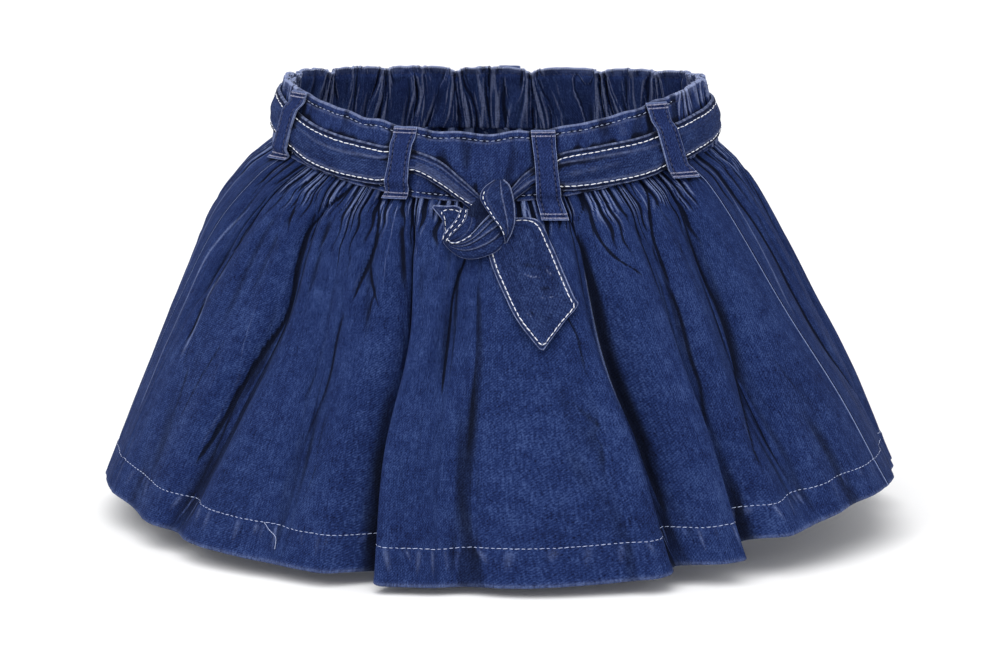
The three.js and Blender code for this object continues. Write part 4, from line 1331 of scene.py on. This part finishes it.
def stitch_tree():
    """Puts a stitch at each step along the lines of a mesh, turned to lie on the cloth."""
    tree = bpy.data.node_groups.new("stitches along a seam", "GeometryNodeTree")
    sizes = {"Pitch": 0.0031, "Stitch length": 0.0024, "Thread width": 0.0006}
    floats = {**sizes, "Turn": 0.0, "Sway": 0.12, "Unevenness": 0.12}
    face = tree.interface
    face.new_socket("Seam", in_out="INPUT", socket_type="NodeSocketGeometry")
    for key, value in floats.items():
        face.new_socket(key, in_out="INPUT", socket_type="NodeSocketFloat").default_value = value
    face.new_socket("Seed", in_out="INPUT", socket_type="NodeSocketInt").default_value = 1
    face.new_socket("Thread", in_out="INPUT", socket_type="NodeSocketMaterial")
    face.new_socket("Stitches", in_out="OUTPUT", socket_type="NodeSocketGeometry")
    given = add_node(tree, "NodeGroupInput").node.outputs

    def random(low, high, seed):
        return add_node(tree, "FunctionNodeRandomValue", {2: low, 3: high, 8: seed}, 1, data_type="FLOAT")

    lines = add_node(tree, "GeometryNodeMeshToCurve", {0: given["Seam"]})
    along = {"Curve": lines, "Length": given["Pitch"]}
    steps = add_node(tree, "GeometryNodeResampleCurve", along, mode="LENGTH")
    ahead = add_node(tree, "GeometryNodeInputTangent")
    named = {"Name": "outwards"}
    outwards = add_node(tree, "GeometryNodeInputNamedAttribute", named, data_type="FLOAT_VECTOR")
    axes = {"primary_axis": "Z", "secondary_axis": "X"}
    lie = add_node(tree, "FunctionNodeAxesToRotation", {0: outwards, 1: ahead}, **axes)
    sway = random(calc(tree, "MULTIPLY", given["Sway"], -1.0), given["Sway"], given["Seed"])
    spin = {"Axis": (0, 0, 1), "Angle": calc(tree, "ADD", given["Turn"], sway)}
    spin = add_node(tree, "FunctionNodeAxisAngleToRotation", spin)
    lie = add_node(tree, "FunctionNodeRotateRotation", {0: lie, 1: spin}, rotation_space="LOCAL")
    least, most = (calc(tree, operation, 1.0, given["Unevenness"]) for operation in ("SUBTRACT", "ADD"))
    long = calc(tree, "MULTIPLY", given["Stitch length"], random(least, most, given["Seed"]))
    flat = calc(tree, "MULTIPLY", given["Thread width"], 0.7)
    scale = add_node(tree, "ShaderNodeCombineXYZ", {0: long, 1: given["Thread width"], 2: flat})
    stitch = add_node(tree, "GeometryNodeMeshUVSphere", {"Segments": 6, "Rings": 5, "Radius": 0.5})
    placing = {"Points": steps, "Instance": stitch, "Rotation": lie, "Scale": scale}
    placed = add_node(tree, "GeometryNodeInstanceOnPoints", placing)
    vary = {"Geometry": placed, "Name": "vary", "Value": random(0.75, 1.2, 7)}
    marked = add_node(tree, "GeometryNodeStoreNamedAttribute", vary, data_type="FLOAT", domain="INSTANCE")
    real = add_node(tree, "GeometryNodeRealizeInstances", {0: marked})
    shaded = add_node(tree, "GeometryNodeSetShadeSmooth", {0: real})
    threaded = add_node(tree, "GeometryNodeSetMaterial", {"Geometry": shaded, "Material": given["Thread"]})
    add_node(tree, "NodeGroupOutput", {0: threaded})
    return tree


STITCH_TREE = stitch_tree()


def sew(name, thread, seed, pitch, length, width, rows, **given):
    """Sews along rows of points, each row with the way out of the cloth at its points, in millimetres."""
    points, edges, ways = [], [], []
    for line, out in rows:
        first = sum(len(p) for p in points)
        points.append(line * 0.001)
        ways.append(out)
        edges += [(first + k, first + k + 1) for k in range(len(line) - 1)]
    mesh = bpy.data.meshes.new(name)
    mesh.from_pydata(np.concatenate(points).tolist(), edges, [])
    outwards = mesh.attributes.new("outwards", "FLOAT_VECTOR", "POINT")
    outwards.data.foreach_set("vector", np.concatenate(ways).astype(np.float32).ravel())
    piece = new_object(name, mesh)
    modifier = piece.modifiers.new("stitches", "NODES")
    modifier.node_group = STITCH_TREE
    sizes = {"Pitch": pitch / 1000, "Stitch length": length / 1000, "Thread width": width / 1000}
    items = STITCH_TREE.interface.items_tree
    sockets = {item.name: item.identifier for item in items if item.in_out == "INPUT"}
    for key, value in {**sizes, "Seed": seed, "Thread": thread, **given}.items():
        modifier[sockets[key]] = value
    graph = bpy.context.evaluated_depsgraph_get()
    made = bpy.data.meshes.new_from_object(piece.evaluated_get(graph))
    piece.modifiers.clear()
    piece.data = made
    made.name = name
    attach(piece, "root")


def row_on(grid, row, lift, columns=slice(None), side=1):
    """A line of points just off a grid's face, at a row that may lie between two and may differ for each
    column. The grid's way out is outwards, or inwards when side is -1."""
    columns = np.arange(grid.shape[1])[columns]
    row = np.broadcast_to(row, columns.shape)
    i = np.clip(np.floor(row).astype(int), 0, len(grid) - 2)
    out, t = side * way_out(grid), (row - i)[:, None]
    ways = unit(mix(out[i, columns], out[i + 1, columns], t))
    return mix(grid[i, columns], grid[i + 1, columns], t) + ways * lift, ways


def belt_row(inset, side, start, end):
    """A stitch row at a fixed distance from the belt's edge, between two angles."""
    angle = np.linspace(BELT_ROUTE["angle"][0], BELT_ROUTE["angle"][-1], BELT_STEPS)
    columns = np.flatnonzero((angle >= start) & (angle <= end))
    row = edged_row(side * (1 - inset / belt_middle(angle[columns])[1]), BELT_ROWS)
    return row_on(belt_grid, row, TRIM_LIFT, columns)


def tail_row(grid, edge, inset):
    """Both long sides of a belt end, as one row round its point."""
    width = edge.max(axis=0) * 2
    columns = np.flatnonzero(width > inset * 2.4)
    row = edged_row(2 * inset / width[columns] - 1, len(grid))
    there, back = (row_on(grid, at, TRIM_LIFT, columns, -1) for at in (row, len(grid) - 1 - row))
    return [np.concatenate([first, last[::-1]]) for first, last in zip(there, back)]


def knot_row(name, across, start, end):
    """A stitch row along one of the knot's turns."""
    grid, facing = knot_grids[name]
    return row_on(grid, edged_row(2 * across - 1, TURN_ROWS), TRIM_LIFT, slice(start, end), facing)


hem_share = np.linspace(0.004, 0.996, 900)
hem_down = HEM_START + 0.0018 * np.sin(hem_share * 41) + 0.0012 * np.sin(hem_share * 97 + 1)
hem_rows = [on_panel(name, hem_share, hem_down, 0.05) for name in panels]
sew("hem_stitches", HEM_THREAD, 11, 2.9, 2.4, 0.36, hem_rows, Unevenness=0.25)

# A thread end that hangs loose below the hem's stitches
loose = np.linspace(0, 1, 12)
loose_share = curve_through(loose, [0, 0.3, 0.6, 1], [0.294, 0.302, 0.312, 0.317])
loose_down = curve_through(loose, [0, 0.3, 0.6, 1], [0.905, 0.922, 0.936, 0.966])
loose_rows = [on_panel("front_panel", loose_share, loose_down, 0.25)]
sew("loose_thread_end", HEM_THREAD, 19, 0.5, 1.1, 0.3, loose_rows, Unevenness=0.02, Sway=0.0)

band_rows = [
    row_on(front_band_grid, edged_row(at, FRONT_BAND_ROWS), 0.05, slice(4, -4))
    for at in (2 * TOP_ROW / BAND_DEPTH - 1, 1 - 2 * SEAM_ROW / BAND_DEPTH)
]
sew("waistband_stitches", HEM_THREAD, 12, 2.9, 2.1, 0.3, band_rows)

# The back band's raw edge is bound with a slanting overlock thread.
overlock_rows = [row_on(back_band_inner, 0.2, 0.05, slice(3, -3), -1)]
sew("overlock_stitches", HEM_THREAD, 21, 1.3, 1.7, 0.42, overlock_rows, Turn=0.9)
elastic_row = np.interp(ELASTIC_ROW, back_band_drop, np.arange(len(back_band_drop)))
elastic_rows = [row_on(back_band_inner, elastic_row, 0.1, side=-1), row_on(back_band_grid, elastic_row, 0.1)]
sew("elastic_stitches", NAVY_THREAD, 13, 3.2, 2.2, 0.35, elastic_rows)

belt_rows = [belt_row(2.2, -1, 19, 341), belt_row(1.9, 1, 19, 361)]
sew("belt_stitches", PALE_THREAD, 14, 3.2, 3.2, 0.55, belt_rows, Unevenness=0.1)
end_rows = [tail_row(long_grid, long_edge, 1.8), tail_row(short_grid, short_edge, 1.8)]
sew("belt_end_stitches", PALE_THREAD, 15, 3.0, 3.0, 0.56, end_rows)
knot_rows = [
    knot_row("wrap", 0.12, 24, 86),
    knot_row("rolled_edge", 0.2, 4, -14),
    knot_row("rolled_edge", 0.8, 4, -14),
    knot_row("lobe", 0.95, 8, 46),
]
sew("knot_stitches", PALE_THREAD, 16, 2.9, 2.3, 0.48, knot_rows)

loop_rows, tack_rows = [], []
for outer, length in loops:
    for at in (-LOOP_SEAM, LOOP_SEAM):
        turned = outer.transpose(1, 0, 2)
        loop_rows.append(row_on(turned, edged_row(at, LOOP_COLUMNS), TRIM_LIFT, slice(10, -10), -1))
    for at in (0.8, 2.6, length - 2.6, length - 0.8):
        tack_rows.append(row_on(outer, edged_row(2 * at / length - 1, LOOP_ROWS), 0.1, slice(2, -2)))
sew("loop_stitches", NAVY_THREAD, 17, 2.6, 2.0, 0.75, loop_rows)
sew("bar_tacks", TACK_THREAD, 18, 0.6, 0.85, 0.4, tack_rows, Turn=1.2, Unevenness=0.3)


# ---- Studio ----


def add_floor():
    material, tree = new_material("matt white studio floor")
    place = add_node(tree, "ShaderNodeTexCoord", out="Object")
    # Barely uneven matt paint, over about 0.4 m
    colour = blend(tree, noise(tree, place, 2.5, 2), srgb("#f4f4f5"), srgb("#f8f8f8"))
    finish_material(tree, Base_Color=colour, Roughness=0.9, Specular_IOR_Level=0.1)
    mesh = bpy.data.meshes.new("studio_floor")
    low, radius, corners = cad_box[0][2] - 0.004, 14, 64
    turns = np.linspace(0, 2 * np.pi, corners + 1)[:-1]
    ring = [(radius * math.cos(t), radius * math.sin(t), low) for t in turns]
    mesh.from_pydata(ring, [], [list(range(corners))])
    mesh.materials.append(material)
    new_object("studio_floor", mesh)


def aim(light, way):
    light.rotation_euler = way.to_track_quat("-Z", "Y").to_euler()


def add_light(name, place, size, power, colour):
    data = bpy.data.lights.new(name, "AREA")
    data.shape, data.size, data.energy = "DISK", size, power
    data.color = srgb(colour)[:3]
    light = new_object(name, data)
    light.location = place
    aim(light, Vector((0, 0, -0.1)) - Vector(place))


def add_sun(place, strength):
    """A wide overhead diffuser, which lights the floor evenly."""
    data = bpy.data.lights.new("overhead_diffuser", "SUN")
    data.energy, data.angle = strength, math.radians(55)
    aim(new_object("overhead_diffuser", data), -Vector(place))


def add_world():
    world = bpy.data.worlds.new("white studio")
    world.use_nodes = True
    tree = world.node_tree
    tree.nodes.clear()
    sky = add_node(tree, "ShaderNodeBackground", {"Color": srgb("#ffffff"), "Strength": 0.75})
    add_node(tree, "ShaderNodeOutputWorld", {"Surface": sky})
    bpy.context.scene.world = world


add_floor()
add_world()
add_light("key_softbox", (-0.9, -1.5, 1.1), 0.7, 6, "#ffffff")
add_light("fill_softbox", (1.4, -1.0, 0.5), 0.9, 1.5, "#f4f7ff")
add_sun((-0.1, -0.35, 1.0), 1.6)
bpy.context.scene.view_settings.view_transform = "Standard"
